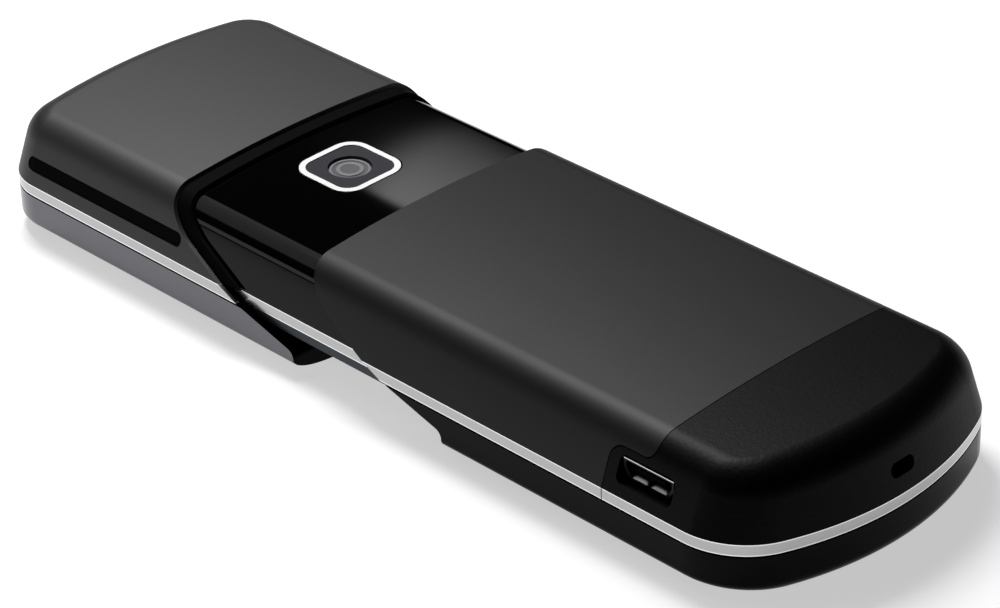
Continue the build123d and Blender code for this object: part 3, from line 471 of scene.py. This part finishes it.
class Paintbox:
    """Makes each finish's material once and puts it on pieces.

    Attributes:
        COAT_ROUGHNESS: roughness of every clear coat.
        LIP_WIDTH: width of the line along a band's edge.
        LOOKS_UP: upward part of a normal at which the painted shade starts and counts in full.
        LOOKS_BACK: part of a normal along the phone, in the same way.
        STROKES: how brush marks are scaled along the phone and upright, by pattern.
    """

    COAT_ROUGHNESS = 0.04
    LIP_WIDTH = 0.18 * MM
    LOOKS_UP = (0.1, 0.2)
    LOOKS_BACK = (-0.3, -0.5)
    STROKES = {Pattern.BRUSHED_ALONG: (0.02, 1.0), Pattern.BRUSHED_UPRIGHT: (1.0, 0.02)}

    def __init__(self) -> None:
        """Starts with the shared groups and no materials."""
        self.groups = NodeGroups()
        self.form = RearForm()
        self.made: dict[str, bpy.types.Material] = {}

    def dress(self, piece: bpy.types.Object, finish: Finish) -> None:
        """Gives a piece one finish all over.

        Args:
            piece: a mesh object.
            finish: the finish it gets.
        """
        if finish.name not in self.made:
            self.made[finish.name] = self._build(finish)
        piece.data.materials.clear()
        piece.data.materials.append(self.made[finish.name])

    def _build(self, finish: Finish) -> bpy.types.Material:
        """Builds a finish's nodes.

        Args:
            finish: the finish.

        Returns:
            The new material.
        """
        material = bpy.data.materials.new(finish.name)
        material.use_nodes = True
        wires = Wires(material.node_tree)
        shader = material.node_tree.nodes["Principled BSDF"]
        wires.fill(shader, {
            "Base Color": self._colour(wires, finish),
            "Metallic": finish.metallic,
            "Roughness": wires.place(self.groups.roughness, Roughness=finish.roughness, Share=finish.drift),
            "Specular IOR Level": finish.specular,
            "Coat Weight": finish.coat,
            "Coat Roughness": self.COAT_ROUGHNESS,
        })
        normal = None
        if finish.inset is not None:
            across, up, crown = self.form.centres(finish.inset)
            normal = wires.place(
                self.groups.form, Centre_across=across, Centre_up=up, Crown_up=crown, Bow=self.form.bow
            )
        if finish.pattern is not Pattern.SMOOTH:
            normal = self._relief(wires, finish, normal)
        if normal is not None:
            wires.feed(shader.inputs["Normal"], normal)
        return material

    def _colour(self, wires: Wires, finish: Finish) -> bpy.types.NodeSocket:
        """Base colour: the drifting tone, with painted highlight lines on a band's edges or painted shade
        between them, or painted shade on faces that look up or back, where the finish has them.

        Args:
            wires: the material's nodes.
            finish: the finish.

        Returns:
            The colour.
        """
        own = wires.place(self.groups.tone, Colour=(*finish.colour, 1.0), Share=finish.tone)
        cut = (*finish.cut, 1.0) if finish.cut else own
        # A band's edge lines show a painted highlight, or the own colour between painted shade.
        if finish.lips:
            low, high = finish.lips
            mask = wires.place(self.groups.band, Low=low, High=high, Width=self.LIP_WIDTH)
            return wires.blend(mask, cut, (*finish.edge_highlight, 1.0) if finish.edge_highlight else own)
        # Faces that look up or back get painted shade.
        if finish.cut:
            along, up = wires.split(wires.add("TexCoord").outputs["Normal"])[1:]
            facing_up, facing_back = wires.step(up, *self.LOOKS_UP), wires.step(along, *self.LOOKS_BACK)
            return wires.blend(wires.math("MAXIMUM", facing_up, facing_back), own, cut)
        return own

    def _relief(self, wires: Wires, finish: Finish, normal: object) -> bpy.types.NodeSocket:
        """Adds a finish's surface detail as a bump.

        Args:
            wires: the material's nodes.
            finish: the finish.
            normal: the form's normal, or None.

        Returns:
            The bumped normal.
        """
        if finish.pattern in self.STROKES:
            along, upright = self.STROKES[finish.pattern]
            height = wires.place(self.groups.brush, Scale=finish.grain_scale, Along=along, Upright=upright)
        else:
            height = wires.place(self.groups.grain, Scale=finish.grain_scale)
        bump = wires.add("Bump")
        bump.inputs["Distance"].default_value = finish.grain_height
        wires.feed(bump.inputs["Height"], height)
        if normal is not None:
            wires.feed(bump.inputs["Normal"], normal)
        return bump.outputs["Normal"]


SATIN_GREY = Finish(
    "Satin grey lacquer", (0.014, 0.0137, 0.0145), 0.5, specular=0.45, inset=0.0,
    pattern=Pattern.GRAINED, grain_scale=4600.0, grain_height=0.000008,
)
GLOSS_BLACK = Finish("Gloss black", (0.0012, 0.0012, 0.0014), 0.05, specular=0.14, inset=0.00105, tone=0.3)
CHIN_BLACK = Finish("Chin black", (0.0012, 0.0012, 0.0015), 0.22, specular=0.05, tone=0.3)
SOFT_BLACK = Finish(
    "Soft-touch black", (0.006, 0.0059, 0.0064), 0.5, specular=0.22, inset=0.0,
    pattern=Pattern.GRAINED, grain_scale=4600.0, grain_height=0.000008,
)
CAP_BLACK = Finish(
    "Grained black", (0.001, 0.001, 0.0012), 0.44, specular=0.07, inset=0.0,
    pattern=Pattern.GRAINED, grain_scale=2200.0, grain_height=0.00003,
)
INNER_BLACK = Finish("Inner black", (0.001, 0.001, 0.001), 0.7, specular=0.03, tone=0.3)
# The trim's bright edge lines are painted highlights, where its bevelled edges catch the light.
SILVER = Finish(
    "Satin silver", (0.43, 0.43, 0.435), 0.22, metallic=1.0, pattern=Pattern.BRUSHED_UPRIGHT,
    grain_scale=5200.0, grain_height=0.000002, lips=(0.00614, 0.0076), edge_highlight=(0.9, 0.9, 0.9),
)
RING_SILVER = Finish("Ring silver", (0.5, 0.5, 0.51), 0.3, metallic=1.0, pattern=Pattern.BRUSHED_ALONG)
# The shell's faces that look up or back are painted near black as shade.
SMOKY = Finish(
    "Smoky metallic lacquer", (0.12, 0.117, 0.132), 0.24, metallic=1.0, cut=(0.001, 0.001, 0.001),
    pattern=Pattern.GRAINED, grain_scale=9000.0, grain_height=0.0000008,
)
SPRING_STEEL = Finish("Spring steel", (0.34, 0.33, 0.33), 0.35, metallic=1.0, pattern=Pattern.BRUSHED_ALONG)
FRAME_METAL = Finish("Frame metal", (0.03, 0.035, 0.042), 0.3, metallic=0.8, specular=0.2)
BEZEL = Finish("Bright bezel", (0.95, 0.95, 0.95), 0.25, tone=0.02)
DARK_GLASS = Finish("Dark glass", (0.01, 0.01, 0.012), 0.03, coat=0.3)
# The pane's grey is a painted reflection on dark glass, with its own gloss nearly off.
PANE_PAINTED_REFLECTION = Finish("Camera pane, painted reflection", (0.045, 0.045, 0.051), 0.35, specular=0.02)
# The lens's grey is a painted reflection on dark glass.
LENS_PAINTED_REFLECTION = Finish("Lens glass, painted reflection", (0.12, 0.12, 0.13), 0.3, specular=0.1)
LENS_RING = Finish("Lens ring", (0.21, 0.21, 0.22), 0.35, specular=0.15)
DISPLAY = Finish("Display", (0.01, 0.01, 0.013), 0.1)
KEY_BLACK = Finish(
    "Key black", (0.012, 0.012, 0.013), 0.25, pattern=Pattern.GRAINED, grain_scale=9000.0,
    grain_height=0.000001,
)
STEEL = Finish("Brushed steel", (0.56, 0.56, 0.57), 0.3, metallic=1.0, pattern=Pattern.BRUSHED_ALONG)
# The port shell is painted dark between its lips as shade inside the opening; the lips keep the steel's own
# colour.
PORT_STEEL = Finish(
    "Port steel", (0.75, 0.74, 0.74), 0.35, metallic=1.0, cut=(0.012, 0.012, 0.012), lips=(0.0, 0.01185)
)
BATTERY_CAN = Finish("Battery can", (0.3, 0.3, 0.31), 0.45, metallic=0.6, pattern=Pattern.BRUSHED_ALONG)
BOARD = Finish("Solder mask", (0.01, 0.09, 0.04), 0.35, tone=0.4)
DOME_FILM = Finish("Dome film", (0.5, 0.5, 0.48), 0.3)
SLIP = Finish("Slippery plastic", (0.25, 0.25, 0.24), 0.4)
WHITE_PRINT = Finish("White print", (0.82, 0.83, 0.85), 0.45, tone=0.03)
GREEN_PRINT = Finish("Green print", (0.03, 0.5, 0.09), 0.45, tone=0.03)
RED_PRINT = Finish("Red print", (0.6, 0.02, 0.02), 0.45, tone=0.03)

BY_SLOT = {
    "satin_grey": SATIN_GREY,
    "inner_black": INNER_BLACK,
    "silver_trim": SILVER,
    "smoky_gloss": SMOKY,
    "gloss_black": GLOSS_BLACK,
    "soft_black": SOFT_BLACK,
    "cap_black": CAP_BLACK,
    "frame_metal": FRAME_METAL,
    "slip_plastic": SLIP,
    "bright_bezel": BEZEL,
    "dark_glass": DARK_GLASS,
    "lens_glass": LENS_PAINTED_REFLECTION,
    "display_dark": DISPLAY,
    "key_black": KEY_BLACK,
    "steel": STEEL,
    "battery_can": BATTERY_CAN,
    "board": BOARD,
    "dome_film": DOME_FILM,
}


def grid(first: tuple[float, float, int], second: tuple[float, float, int]) -> tuple[np.ndarray, ...]:
    """Spreads two parameters over a grid.

    Args:
        first: start, end and count of the parameter that changes from row to row.
        second: the same for the one that changes from column to column.

    Returns:
        Both parameters, each rows by columns.
    """
    return tuple(np.meshgrid(np.linspace(*first), np.linspace(*second), indexing="ij"))


def surface(name: str, points: np.ndarray) -> bpy.types.Object:
    """Makes a mesh from a grid of points.

    Each cell of the grid becomes one face, with its corners in turn round the cell.

    Args:
        name: the piece's name.
        points: rows by columns by three.

    Returns:
        The new object at the origin.
    """
    rows, columns = points.shape[:2]
    index = np.arange(rows * columns).reshape(rows, columns)
    corners = (index[:-1, :-1], index[1:, :-1], index[1:, 1:], index[:-1, 1:])
    faces = np.stack([corner.ravel() for corner in corners], axis=1)
    mesh = bpy.data.meshes.new(name)
    mesh.from_pydata(points.reshape(-1, 3).tolist(), [], faces.tolist())
    mesh.polygons.foreach_set("use_smooth", np.ones(len(faces), dtype=bool))
    piece = bpy.data.objects.new(name, mesh)
    bpy.context.scene.collection.objects.link(piece)
    return piece


@dataclass
class Assembly:
    """A sub-assembly of the phone, with the finish of each node that its slot doesn't settle.

    Args:
        paint: the paintbox.
        nodes: the frame's nodes by name.
        special: finish by node, where it isn't the slot's.
    """

    paint: Paintbox
    nodes: dict[str, bpy.types.Object]
    special: dict[str, Finish] = field(default_factory=dict)

    def dress(self) -> None:
        """Puts the special finishes on."""
        for node, finish in self.special.items():
            self.paint.dress(self.nodes[node], finish)
            LOG.info("%s gets %s", node, finish.name)

    def build(self) -> None:
        """Adds nothing, where an assembly has all its pieces as solids."""

    def add(self, piece: bpy.types.Object, body: str, slot: str, finish: Finish) -> None:
        """Dresses a new piece and makes it ride.

        Args:
            piece: the piece.
            body: the body it rides on.
            slot: its material slot in the record; not used.
            finish: its finish.
        """
        self.paint.dress(piece, finish)
        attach(piece, body)
        LOG.info("%s rides on %s", piece.name, body)


@dataclass
class SlideSide(Assembly):
    """Side of the slide, where the volume key is as black as its slot."""


@dataclass
class NumberKeys(Assembly):
    """Number keys with their printed signs.

    Args:
        digit_size: height of a digit's type.
        digit_aside: how far a digit stands beside the key's middle, where it has letters.
        letter_size: height of the letters' type.
        letter_aside: how far the letters stand to the other side.
        proud: how far the print stands off the key.
        signs: digit and letters by key.
    """

    digit_size: float = 3.0 * MM
    digit_aside: float = 2.1 * MM
    letter_size: float = 1.5 * MM
    letter_aside: float = 2.0 * MM
    proud: float = 0.012 * MM
    signs: dict[str, tuple[str, str]] = field(
        default_factory=lambda: {
            "1": ("1", ""), "2": ("2", "abc"), "3": ("3", "def"), "4": ("4", "ghi"),
            "5": ("5", "jkl"), "6": ("6", "mno"), "7": ("7", "pqrs"), "8": ("8", "tuv"),
            "9": ("9", "wxyz"), "star": ("*", "+"), "0": ("0", ""), "hash": ("#", ""),
        }
    )

    def build(self) -> None:
        """Prints every key."""
        for key, (digit, letters) in self.signs.items():
            low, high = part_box("key_" + key)
            middle_x, middle_y = (low[0] + high[0]) / 2, (low[1] + high[1]) / 2
            parts = [(digit, self.digit_size, self.digit_aside if letters else 0.0, "digit")]
            if letters:
                parts.append((letters, self.letter_size, -self.letter_aside, "letters"))
            for text, size, aside, label in parts:
                piece = self._print(f"print_{label}_{key}", text, size)
                self._lay(piece.data, middle_x + aside, middle_y, low[2] - self.proud)
                self.add(piece, "key_" + key, "bright_bezel", WHITE_PRINT)

    @staticmethod
    def _print(name: str, text: str, size: float) -> bpy.types.Object:
        """Makes a flat mesh of a short text about its own middle.

        Args:
            name: the piece's name.
            text: the text.
            size: type size.

        Returns:
            The piece.
        """
        curve = bpy.data.curves.new(name, "FONT")
        curve.body, curve.size = text, size
        curve.align_x, curve.align_y = "CENTER", "CENTER"
        writer = bpy.data.objects.new(name + "_curve", curve)
        bpy.context.scene.collection.objects.link(writer)
        bpy.context.view_layer.update()
        mesh = bpy.data.meshes.new_from_object(writer)
        bpy.data.objects.remove(writer)
        bpy.data.curves.remove(curve)
        piece = bpy.data.objects.new(name, mesh)
        bpy.context.scene.collection.objects.link(piece)
        return piece

    @staticmethod
    def _lay(mesh: bpy.types.Mesh, x: float, y: float, z: float) -> None:
        """Turns a flat mesh half round about Y, so that it faces down, and moves it to its place.

        Args:
            mesh: the mesh.
            x: place across.
            y: place along.
            z: height.
        """
        points = np.empty(len(mesh.vertices) * 3)
        mesh.vertices.foreach_get("co", points)
        points = points.reshape(-1, 3)
        placed = np.stack([x - points[:, 0], y + points[:, 1], np.full(len(points), z)], axis=1)
        mesh.vertices.foreach_set("co", placed.ravel())
        mesh.update()


@dataclass(frozen=True)
class Sign:
    """A line drawn on a key: a straight bar, or a handset that bows and swells near both ends.

    Args:
        finish: its colour.
        reach: half its length.
        half: half width of the plain line.
        bend: how far it bows, 0 for a straight bar.
        swell: how far it swells near each end, as a share of the reach.
    """

    finish: Finish
    reach: float
    half: float
    bend: float = 0.0
    swell: float = 0.0


@dataclass
class ChinKeys(Assembly):
    """Signs on the keys round the navigation ring.

    Args:
        flat_half: half width of the chin's flat part.
        round_side: how far its rounding runs in from the side.
        round_height: height of the rounding.
        proud: how far the print stands off the key.
        bow_rise: how far the middle of a bowed line rises, as a share of its reach.
        bow_fall: how far its ends fall from there, in the same way.
        swell_place: where along half the line the swelling is widest.
        swell_spread: how far the swelling spreads along it.
        signs: sign by key.
    """

    flat_half: float = 13.9 * MM
    round_side: float = 8.3 * MM
    round_height: float = 2.4 * MM
    proud: float = 0.02 * MM
    bow_rise: float = 0.3
    bow_fall: float = 0.6
    swell_place: float = 0.82
    swell_spread: float = 0.16
    signs: dict[str, Sign] = field(
        default_factory=lambda: {
            "soft_key_left": Sign(WHITE_PRINT, 1.5 * MM, 0.24 * MM),
            "soft_key_right": Sign(WHITE_PRINT, 1.5 * MM, 0.24 * MM),
            "send_key": Sign(GREEN_PRINT, 1.7 * MM, 0.3 * MM, bend=1.0, swell=0.25),
            "end_key": Sign(RED_PRINT, 1.7 * MM, 0.3 * MM, bend=1.0, swell=0.25),
        }
    )

    def build(self) -> None:
        """Prints the four keys."""
        for key, sign in self.signs.items():
            self._draw(key, sign)

    def _draw(self, key: str, sign: Sign) -> None:
        """Draws a sign on a key's face.

        The middle line runs through t from -1 to 1, at x = -reach t and y = bend reach (rise - fall t^2).
        Its half width is the plain one plus swell reach exp(-((|t| - place) / spread)^2), and its height
        follows the chin's rounding, a quarter of an ellipse.

        Args:
            key: the key it is on.
            sign: the sign.
        """
        low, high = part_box(key)
        t, across = grid((-1, 1, 49), (-1, 1, 5))
        from_swell = (np.abs(t) - self.swell_place) / self.swell_spread
        width = sign.half + sign.swell * sign.reach * np.exp(-(from_swell**2))
        bow = sign.bend * sign.reach * (self.bow_rise - self.bow_fall * t**2)
        x = (low[0] + high[0]) / 2 - sign.reach * t
        y = (low[1] + high[1]) / 2 + bow + width * across
        beyond = np.clip((np.abs(x) - self.flat_half) / self.round_side, 0, 1)
        z = low[2] + self.round_height * (1 - np.sqrt(1 - beyond**2)) - self.proud
        self.add(surface("print_" + key, np.stack([x, y, z], axis=2)), key, "bright_bezel", sign.finish)


@dataclass
class PortEnd(Assembly):
    """Bottom end: the port with its sprung bars and contacts.

    Args:
        bar_half: half length of a bar.
        bar_step: distance of a bar's middle from the port's.
        bar_depth: how far a bar runs in.
        bar_rise: how far it stands off the shell.
        bar_inset: how far inside the port's mouth it starts.
        bar_clear: gap between its edges and the shell.
        shell_wall: wall of the shell.
        contacts: number of contacts.
        contact_pitch: distance between their middles.
        contact_inset: how far inside the tongue's tip they start.
        contact_drop: how far they lie below the tongue's middle.
        contact_length: how far they run in.
        contact_half: half width of a contact.
        contact_round: how far its middle stands out from its edges.
    """

    bar_half: float = 1.32 * MM
    bar_step: float = 1.42 * MM
    bar_depth: float = 1.5 * MM
    bar_rise: float = 0.34 * MM
    bar_inset: float = 0.08 * MM
    bar_clear: float = 0.01 * MM
    shell_wall: float = 0.3 * MM
    contacts: int = 5
    contact_pitch: float = 0.65 * MM
    contact_inset: float = 0.1 * MM
    contact_drop: float = 0.16 * MM
    contact_length: float = 2.4 * MM
    contact_half: float = 0.16 * MM
    contact_round: float = 0.03 * MM

    def build(self) -> None:
        """Makes the two bars on the shell's lower wall and the contacts on the tongue."""
        low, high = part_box("usb_shell")
        middle = (low[1] + high[1]) / 2
        for label, side in (("low", -1), ("high", 1)):
            self._bar(label, low[0], middle + side * self.bar_step, low[2] + self.shell_wall)
        tongue_low, tongue_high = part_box("usb_tongue")
        height = (tongue_low[2] + tongue_high[2]) / 2 - self.contact_drop
        for number in range(self.contacts):
            y = middle + (number - self.contacts // 2) * self.contact_pitch
            self._contact(number, tongue_low[0] + self.contact_inset, y, height)

    def _bar(self, label: str, x: float, y: float, z: float) -> None:
        """Presses a sprung bar out of the shell's wall.

        Height over the wall is the rise times sin(pi u) across the depth, times (1 - v^6) along the bar.

        Args:
            label: which of the two.
            x: the port's mouth.
            y: middle of the bar.
            z: inner face of the wall.
        """
        u, v = grid((0, 1, 13), (-1, 1, 21))
        height = z + self.bar_rise * np.sin(np.pi * u) * (1 - v**6) + self.bar_clear
        points = np.stack([x + self.bar_inset + self.bar_depth * u, y + self.bar_half * v, height], axis=2)
        self.add(surface("port_bar_" + label, points), "lower_body", "steel", SPRING_STEEL)

    def _contact(self, number: int, x: float, y: float, z: float) -> None:
        """Lays one contact strip under the tongue, with its edges rolled by cos(pi v / 2).

        Args:
            number: which of the contacts.
            x: where the strip starts.
            y: middle of the strip.
            z: height of its edges.
        """
        u, v = grid((0, 1, 9), (-1, 1, 7))
        height = z - self.contact_round * np.cos(np.pi * v / 2)
        points = np.stack([x + self.contact_length * u, y + self.contact_half * v, height], axis=2)
        self.add(surface(f"port_contact_{number}", points), "lower_body", "steel", STEEL)


@dataclass(frozen=True)
class Ring:
    """A ring in the lens, half round in section.

    Args:
        outer: outer radius.
        inner: inner radius.
        drop: how far its foot lies below the lens's crown.
        rise: height of its round.
    """

    outer: float
    inner: float
    drop: float
    rise: float


@dataclass
class CameraEye(Assembly):
    """Camera with the rings that show through its lens.

    Args:
        rings: the rings, from the outermost in.
    """

    rings: tuple[Ring, ...] = (
        Ring(2.62 * MM, 2.2 * MM, 0.12 * MM, 0.1 * MM),
        Ring(1.75 * MM, 1.2 * MM, 0.02 * MM, 0.05 * MM),
    )

    def build(self) -> None:
        """Makes the lens's rings.

        Each ring is a half round carried about the lens's axis: radius and height follow cos and sin of
        one angle across the ring, and the other angle goes round.
        """
        low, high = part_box("camera_lens")
        middle_x, middle_y = (low[0] + high[0]) / 2, (low[1] + high[1]) / 2
        for number, ring in enumerate(self.rings):
            turn, across = grid((0, 2 * np.pi, 73), (0, np.pi, 9))
            radius = (ring.outer + ring.inner) / 2 + (ring.outer - ring.inner) / 2 * np.cos(across)
            x, y = middle_x + radius * np.cos(turn), middle_y + radius * np.sin(turn)
            points = np.stack([x, y, high[2] - ring.drop + ring.rise * np.sin(across)], axis=2)
            self.add(surface(f"lens_ring_{number}", points), "lower_body", "lens_glass", LENS_RING)


@dataclass(frozen=True)
class Card:
    """A soft-edged card of light in the sky.

    Args:
        azimuth: degrees from +X towards +Y.
        elevation: degrees above the floor.
        half_width: degrees to each side.
        half_height: degrees up and down.
        level: radiance, where 1 is white.
        softness: width of its edge, as a tangent.
        roll: degrees by which it is turned in its own plane.
        fade: share of its light that is gone at its lower edge.
    """

    azimuth: float
    elevation: float
    half_width: float
    half_height: float
    level: float
    softness: float = 0.06
    roll: float = 0.0
    fade: float = 0.0


@dataclass(frozen=True)
class Lamp:
    """A square lamp.

    Args:
        name: what it is called.
        place: its middle.
        side: length of its sides.
        power: its power in watts.
        mirrored: whether glossy parts show it.
    """

    name: str
    place: tuple[float, float, float]
    side: float
    power: float
    mirrored: bool = True


@dataclass
class Studio:
    """Camera, sky, floor and lamps.

    Args:
        target: point that the camera and the lamps face.
        azimuth: degrees from which the camera looks, 0 from -Y and 90 from +X.
        elevation: degrees above the floor.
        roll: degrees by which it is rolled.
        distance: distance from the target.
        focal_pixels: focal length in pixels of the image.
        principal: principal point in pixels from the upper left corner.
        sensor: sensor width in millimetres.
        clip: nearest and farthest distance seen.
        cards: lights in the sky.
        lights: the key lamp above the slide's end, and a light table's lamp under the floor.
        floor_half: half the floor's side.
        floor_drop: how far the floor lies below the phone.
        floor_colour: how light the floor is.
        floor_glow: light that camera, metal and glass see in it on top.
        ahead: share along a card's middle from where it counts in full.
        least_depth: least value that a share is divided by.
    """

    target: tuple[float, float, float] = (0.0, 0.0035, 0.008)
    azimuth: float = -43.287
    elevation: float = 30.461
    roll: float = -1.882
    distance: float = 0.459575
    focal_pixels: float = 3809.69
    principal: tuple[float, float] = (459.75, 265.70)
    sensor: float = 36.0
    clip: tuple[float, float] = (0.01, 20.0)
    cards: tuple[Card, ...] = (
        Card(92.0, 54.0, 24.0, 11.0, 1.0, 0.1),
        Card(138.0, 9.0, 14.0, 4.0, 1.8, 0.05),
        Card(39.8, 28.8, 5.9, 5.0, 3.3, 0.012, roll=-27.0, fade=1.0),
    )
    lights: tuple[Lamp, ...] = (
        Lamp("Key lamp", (0.07, 0.17, 0.33), 0.14, 1.4),
        Lamp("Table lamp", (0.0, 0.0, -0.25), 0.3, 0.5, mirrored=False),
    )
    floor_half: float = 3.0
    floor_drop: float = 0.02 * MM
    floor_colour: float = 0.6
    floor_glow: float = 0.55
    ahead: float = 0.1
    least_depth: float = 0.001

    def camera(self) -> None:
        """Places the camera.

        The camera looks back along the direction given by azimuth and elevation, then is rolled about
        its own axis, and its shift puts the principal point where it belongs.
        """
        data = bpy.data.cameras.new("Camera")
        data.sensor_width = self.sensor
        data.lens = self.focal_pixels * self.sensor / IMAGE_WIDTH
        data.shift_x = (IMAGE_WIDTH / 2 - self.principal[0]) / IMAGE_WIDTH
        data.shift_y = (self.principal[1] - IMAGE_HEIGHT / 2) / IMAGE_WIDTH
        data.clip_start, data.clip_end = self.clip
        turn, rise, roll = map(math.radians, (self.azimuth, self.elevation, self.roll))
        back = Vector((math.sin(turn) * math.cos(rise), -math.cos(turn) * math.cos(rise), math.sin(rise)))
        level_right = Vector((0, 0, 1)).cross(back).normalized()
        right = level_right * math.cos(roll) + back.cross(level_right) * math.sin(roll)
        axes = Matrix((right, back.cross(right), back)).transposed().to_4x4()
        camera = bpy.data.objects.new("Camera", data)
        camera.matrix_world = Matrix.Translation(Vector(self.target) + back * self.distance) @ axes
        bpy.context.scene.collection.objects.link(camera)
        bpy.context.scene.camera = camera

    @staticmethod
    def _clear(wires: Wires) -> bpy.types.NodeSocket:
        """Gives 1 on every ray that has come up through the floor from below, and 0 elsewhere."""
        return wires.math("GREATER_THAN", wires.add("LightPath").outputs["Transparent Depth"], 0.5)

    @staticmethod
    def _seen(wires: Wires) -> bpy.types.NodeSocket:
        """Tells the rays by which something is seen.

        Args:
            wires: the nodes to add to.

        Returns:
            1 on camera, glossy and transmission rays, and 0 elsewhere.
        """
        path = wires.add("LightPath").outputs
        glossy = wires.math("MAXIMUM", path["Is Glossy Ray"], path["Is Transmission Ray"])
        return wires.math("MAXIMUM", path["Is Camera Ray"], glossy)

    def sky(self) -> None:
        """Hangs the studio's soft lights as a function of direction.

        The room is dark, and each card is a soft-edged window in the plane that touches the sky at its
        middle. Seen from under the floor, the sky behind the phone is plain white.
        """
        world = bpy.data.worlds.new("Studio")
        bpy.context.scene.world = world
        world.use_nodes = True
        wires = Wires(world.node_tree)
        direction = wires.add("TexCoord").outputs["Generated"]
        light = 0.0
        for card in self.cards:
            light = wires.math("ADD", light, self._card(wires, direction, card))
        below = wires.math("MULTIPLY", self._clear(wires), self._seen(wires))
        kept = wires.math("MULTIPLY", light, wires.math("SUBTRACT", 1.0, below))
        background = world.node_tree.nodes["Background"]
        background.inputs["Color"].default_value = (1, 1, 1, 1)
        wires.feed(background.inputs["Strength"], wires.math("ADD", kept, below))

    def _card(self, wires: Wires, direction: bpy.types.NodeSocket, card: Card) -> bpy.types.NodeSocket:
        """Radiance of one card in a direction.

        The direction is divided by its share along the card's middle, which puts it on the plane that
        touches the sky there. A smooth step closes the window on each side, and behind it is nothing. A
        fading card loses its light evenly from its upper to its lower edge.

        Args:
            wires: the nodes to add to.
            direction: the direction.
            card: the card.

        Returns:
            The card's radiance.
        """
        turn, rise = math.radians(card.azimuth), math.radians(card.elevation)
        middle = Vector((math.cos(turn) * math.cos(rise), math.sin(turn) * math.cos(rise), math.sin(rise)))
        level_across = Vector((0, 0, 1)).cross(middle).normalized()
        across = Matrix.Rotation(math.radians(card.roll), 3, middle) @ level_across
        front, aside, above = (
            wires.vector("DOT_PRODUCT", direction, axis, out="Value")
            for axis in (middle, across, middle.cross(across))
        )
        depth = wires.math("MAXIMUM", front, self.least_depth)
        light = wires.step(front, 0.0, self.ahead, card.level)
        for share, half in ((aside, card.half_width), (above, card.half_height)):
            place = wires.math("DIVIDE", share, depth)
            offset = wires.math("ABSOLUTE", place)
            reach = math.tan(math.radians(half))
            light = wires.math("MULTIPLY", light, wires.step(offset, reach + card.softness, reach))
        if card.fade:
            # Place and reach are now those of the last pass, up and down the card.
            upward = wires.math("MULTIPLY_ADD", place, 0.5 / reach, 0.5, clamp=True)
            kept = wires.math("MULTIPLY_ADD", upward, card.fade, 1.0 - card.fade)
            light = wires.math("MULTIPLY", light, kept)
        return light

    def floor(self) -> None:
        """Lays a wide white floor just under the phone.

        The camera, metal and glass see the floor a little brighter than it lights the phone, so that it
        is white all over and still takes the phone's shadow. From below it is clear, and the light of
        the table lamp passes up through it.
        """
        half, height = self.floor_half, -self.floor_drop
        x, y = grid((-half, half, 2), (-half, half, 2))
        floor = surface("Floor", np.stack([x, y, np.full((2, 2), height)], axis=2))
        material = bpy.data.materials.new("Floor")
        material.use_nodes = True
        wires = Wires(material.node_tree)
        shader = material.node_tree.nodes["Principled BSDF"]
        colour = (*[self.floor_colour] * 3, 1)
        wires.fill(shader, {"Base Color": colour, "Roughness": 1.0, "Specular IOR Level": 0.0})
        glow = wires.add("Emission")
        wires.feed(glow.inputs["Strength"], wires.math("MULTIPLY", self._seen(wires), self.floor_glow))
        both = wires.add("AddShader", shader.outputs[0], glow.outputs[0])
        behind = wires.add("NewGeometry").outputs["Backfacing"]
        shadow = wires.add("LightPath").outputs["Is Shadow Ray"]
        clear = wires.math("MAXIMUM", wires.math("MAXIMUM", behind, self._clear(wires)), shadow)
        through = wires.add("BsdfTransparent")
        shown = wires.add("MixShader", clear, both.outputs[0], through.outputs[0])
        wires.feed(material.node_tree.nodes["Material Output"].inputs["Surface"], shown.outputs[0])
        floor.data.materials.append(material)

    def lamps(self) -> None:
        """Sets up the lamps, each turned to face the target."""
        for light in self.lights:
            data = bpy.data.lights.new(light.name, "AREA")
            data.shape = "SQUARE"
            data.size, data.energy = light.side, light.power
            lamp = bpy.data.objects.new(light.name, data)
            facing = (Vector(self.target) - Vector(light.place)).to_track_quat("-Z", "Y")
            lamp.matrix_world = Matrix.Translation(light.place) @ facing.to_matrix().to_4x4()
            lamp.visible_glossy = light.mirrored
            bpy.context.scene.collection.objects.link(lamp)


def main() -> None:
    """Builds the scene."""
    logging.basicConfig(level=logging.INFO, format="%(name)s: %(message)s")
    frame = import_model()
    paint = Paintbox()
    nodes = frame["nodes"]
    for part in frame["record"]["subparts"]:
        paint.dress(nodes[part["node"]], BY_SLOT[part["material_slot"]])
    assemblies = (
        SlideSide(paint, nodes, {"volume_key": INNER_BLACK}),
        NumberKeys(paint, nodes),
        ChinKeys(paint, nodes, {"chin_shell": CHIN_BLACK, "nav_ring": RING_SILVER}),
        PortEnd(paint, nodes, {"usb_shell": PORT_STEEL}),
        CameraEye(paint, nodes, {"camera_window": PANE_PAINTED_REFLECTION}),
    )
    for assembly in assemblies:
        assembly.dress()
        assembly.build()
    studio = Studio()
    studio.camera()
    studio.sky()
    studio.floor()
    studio.lamps()
    bpy.context.scene.view_settings.view_transform = "Standard"


if __name__ == "__main__":
    main()
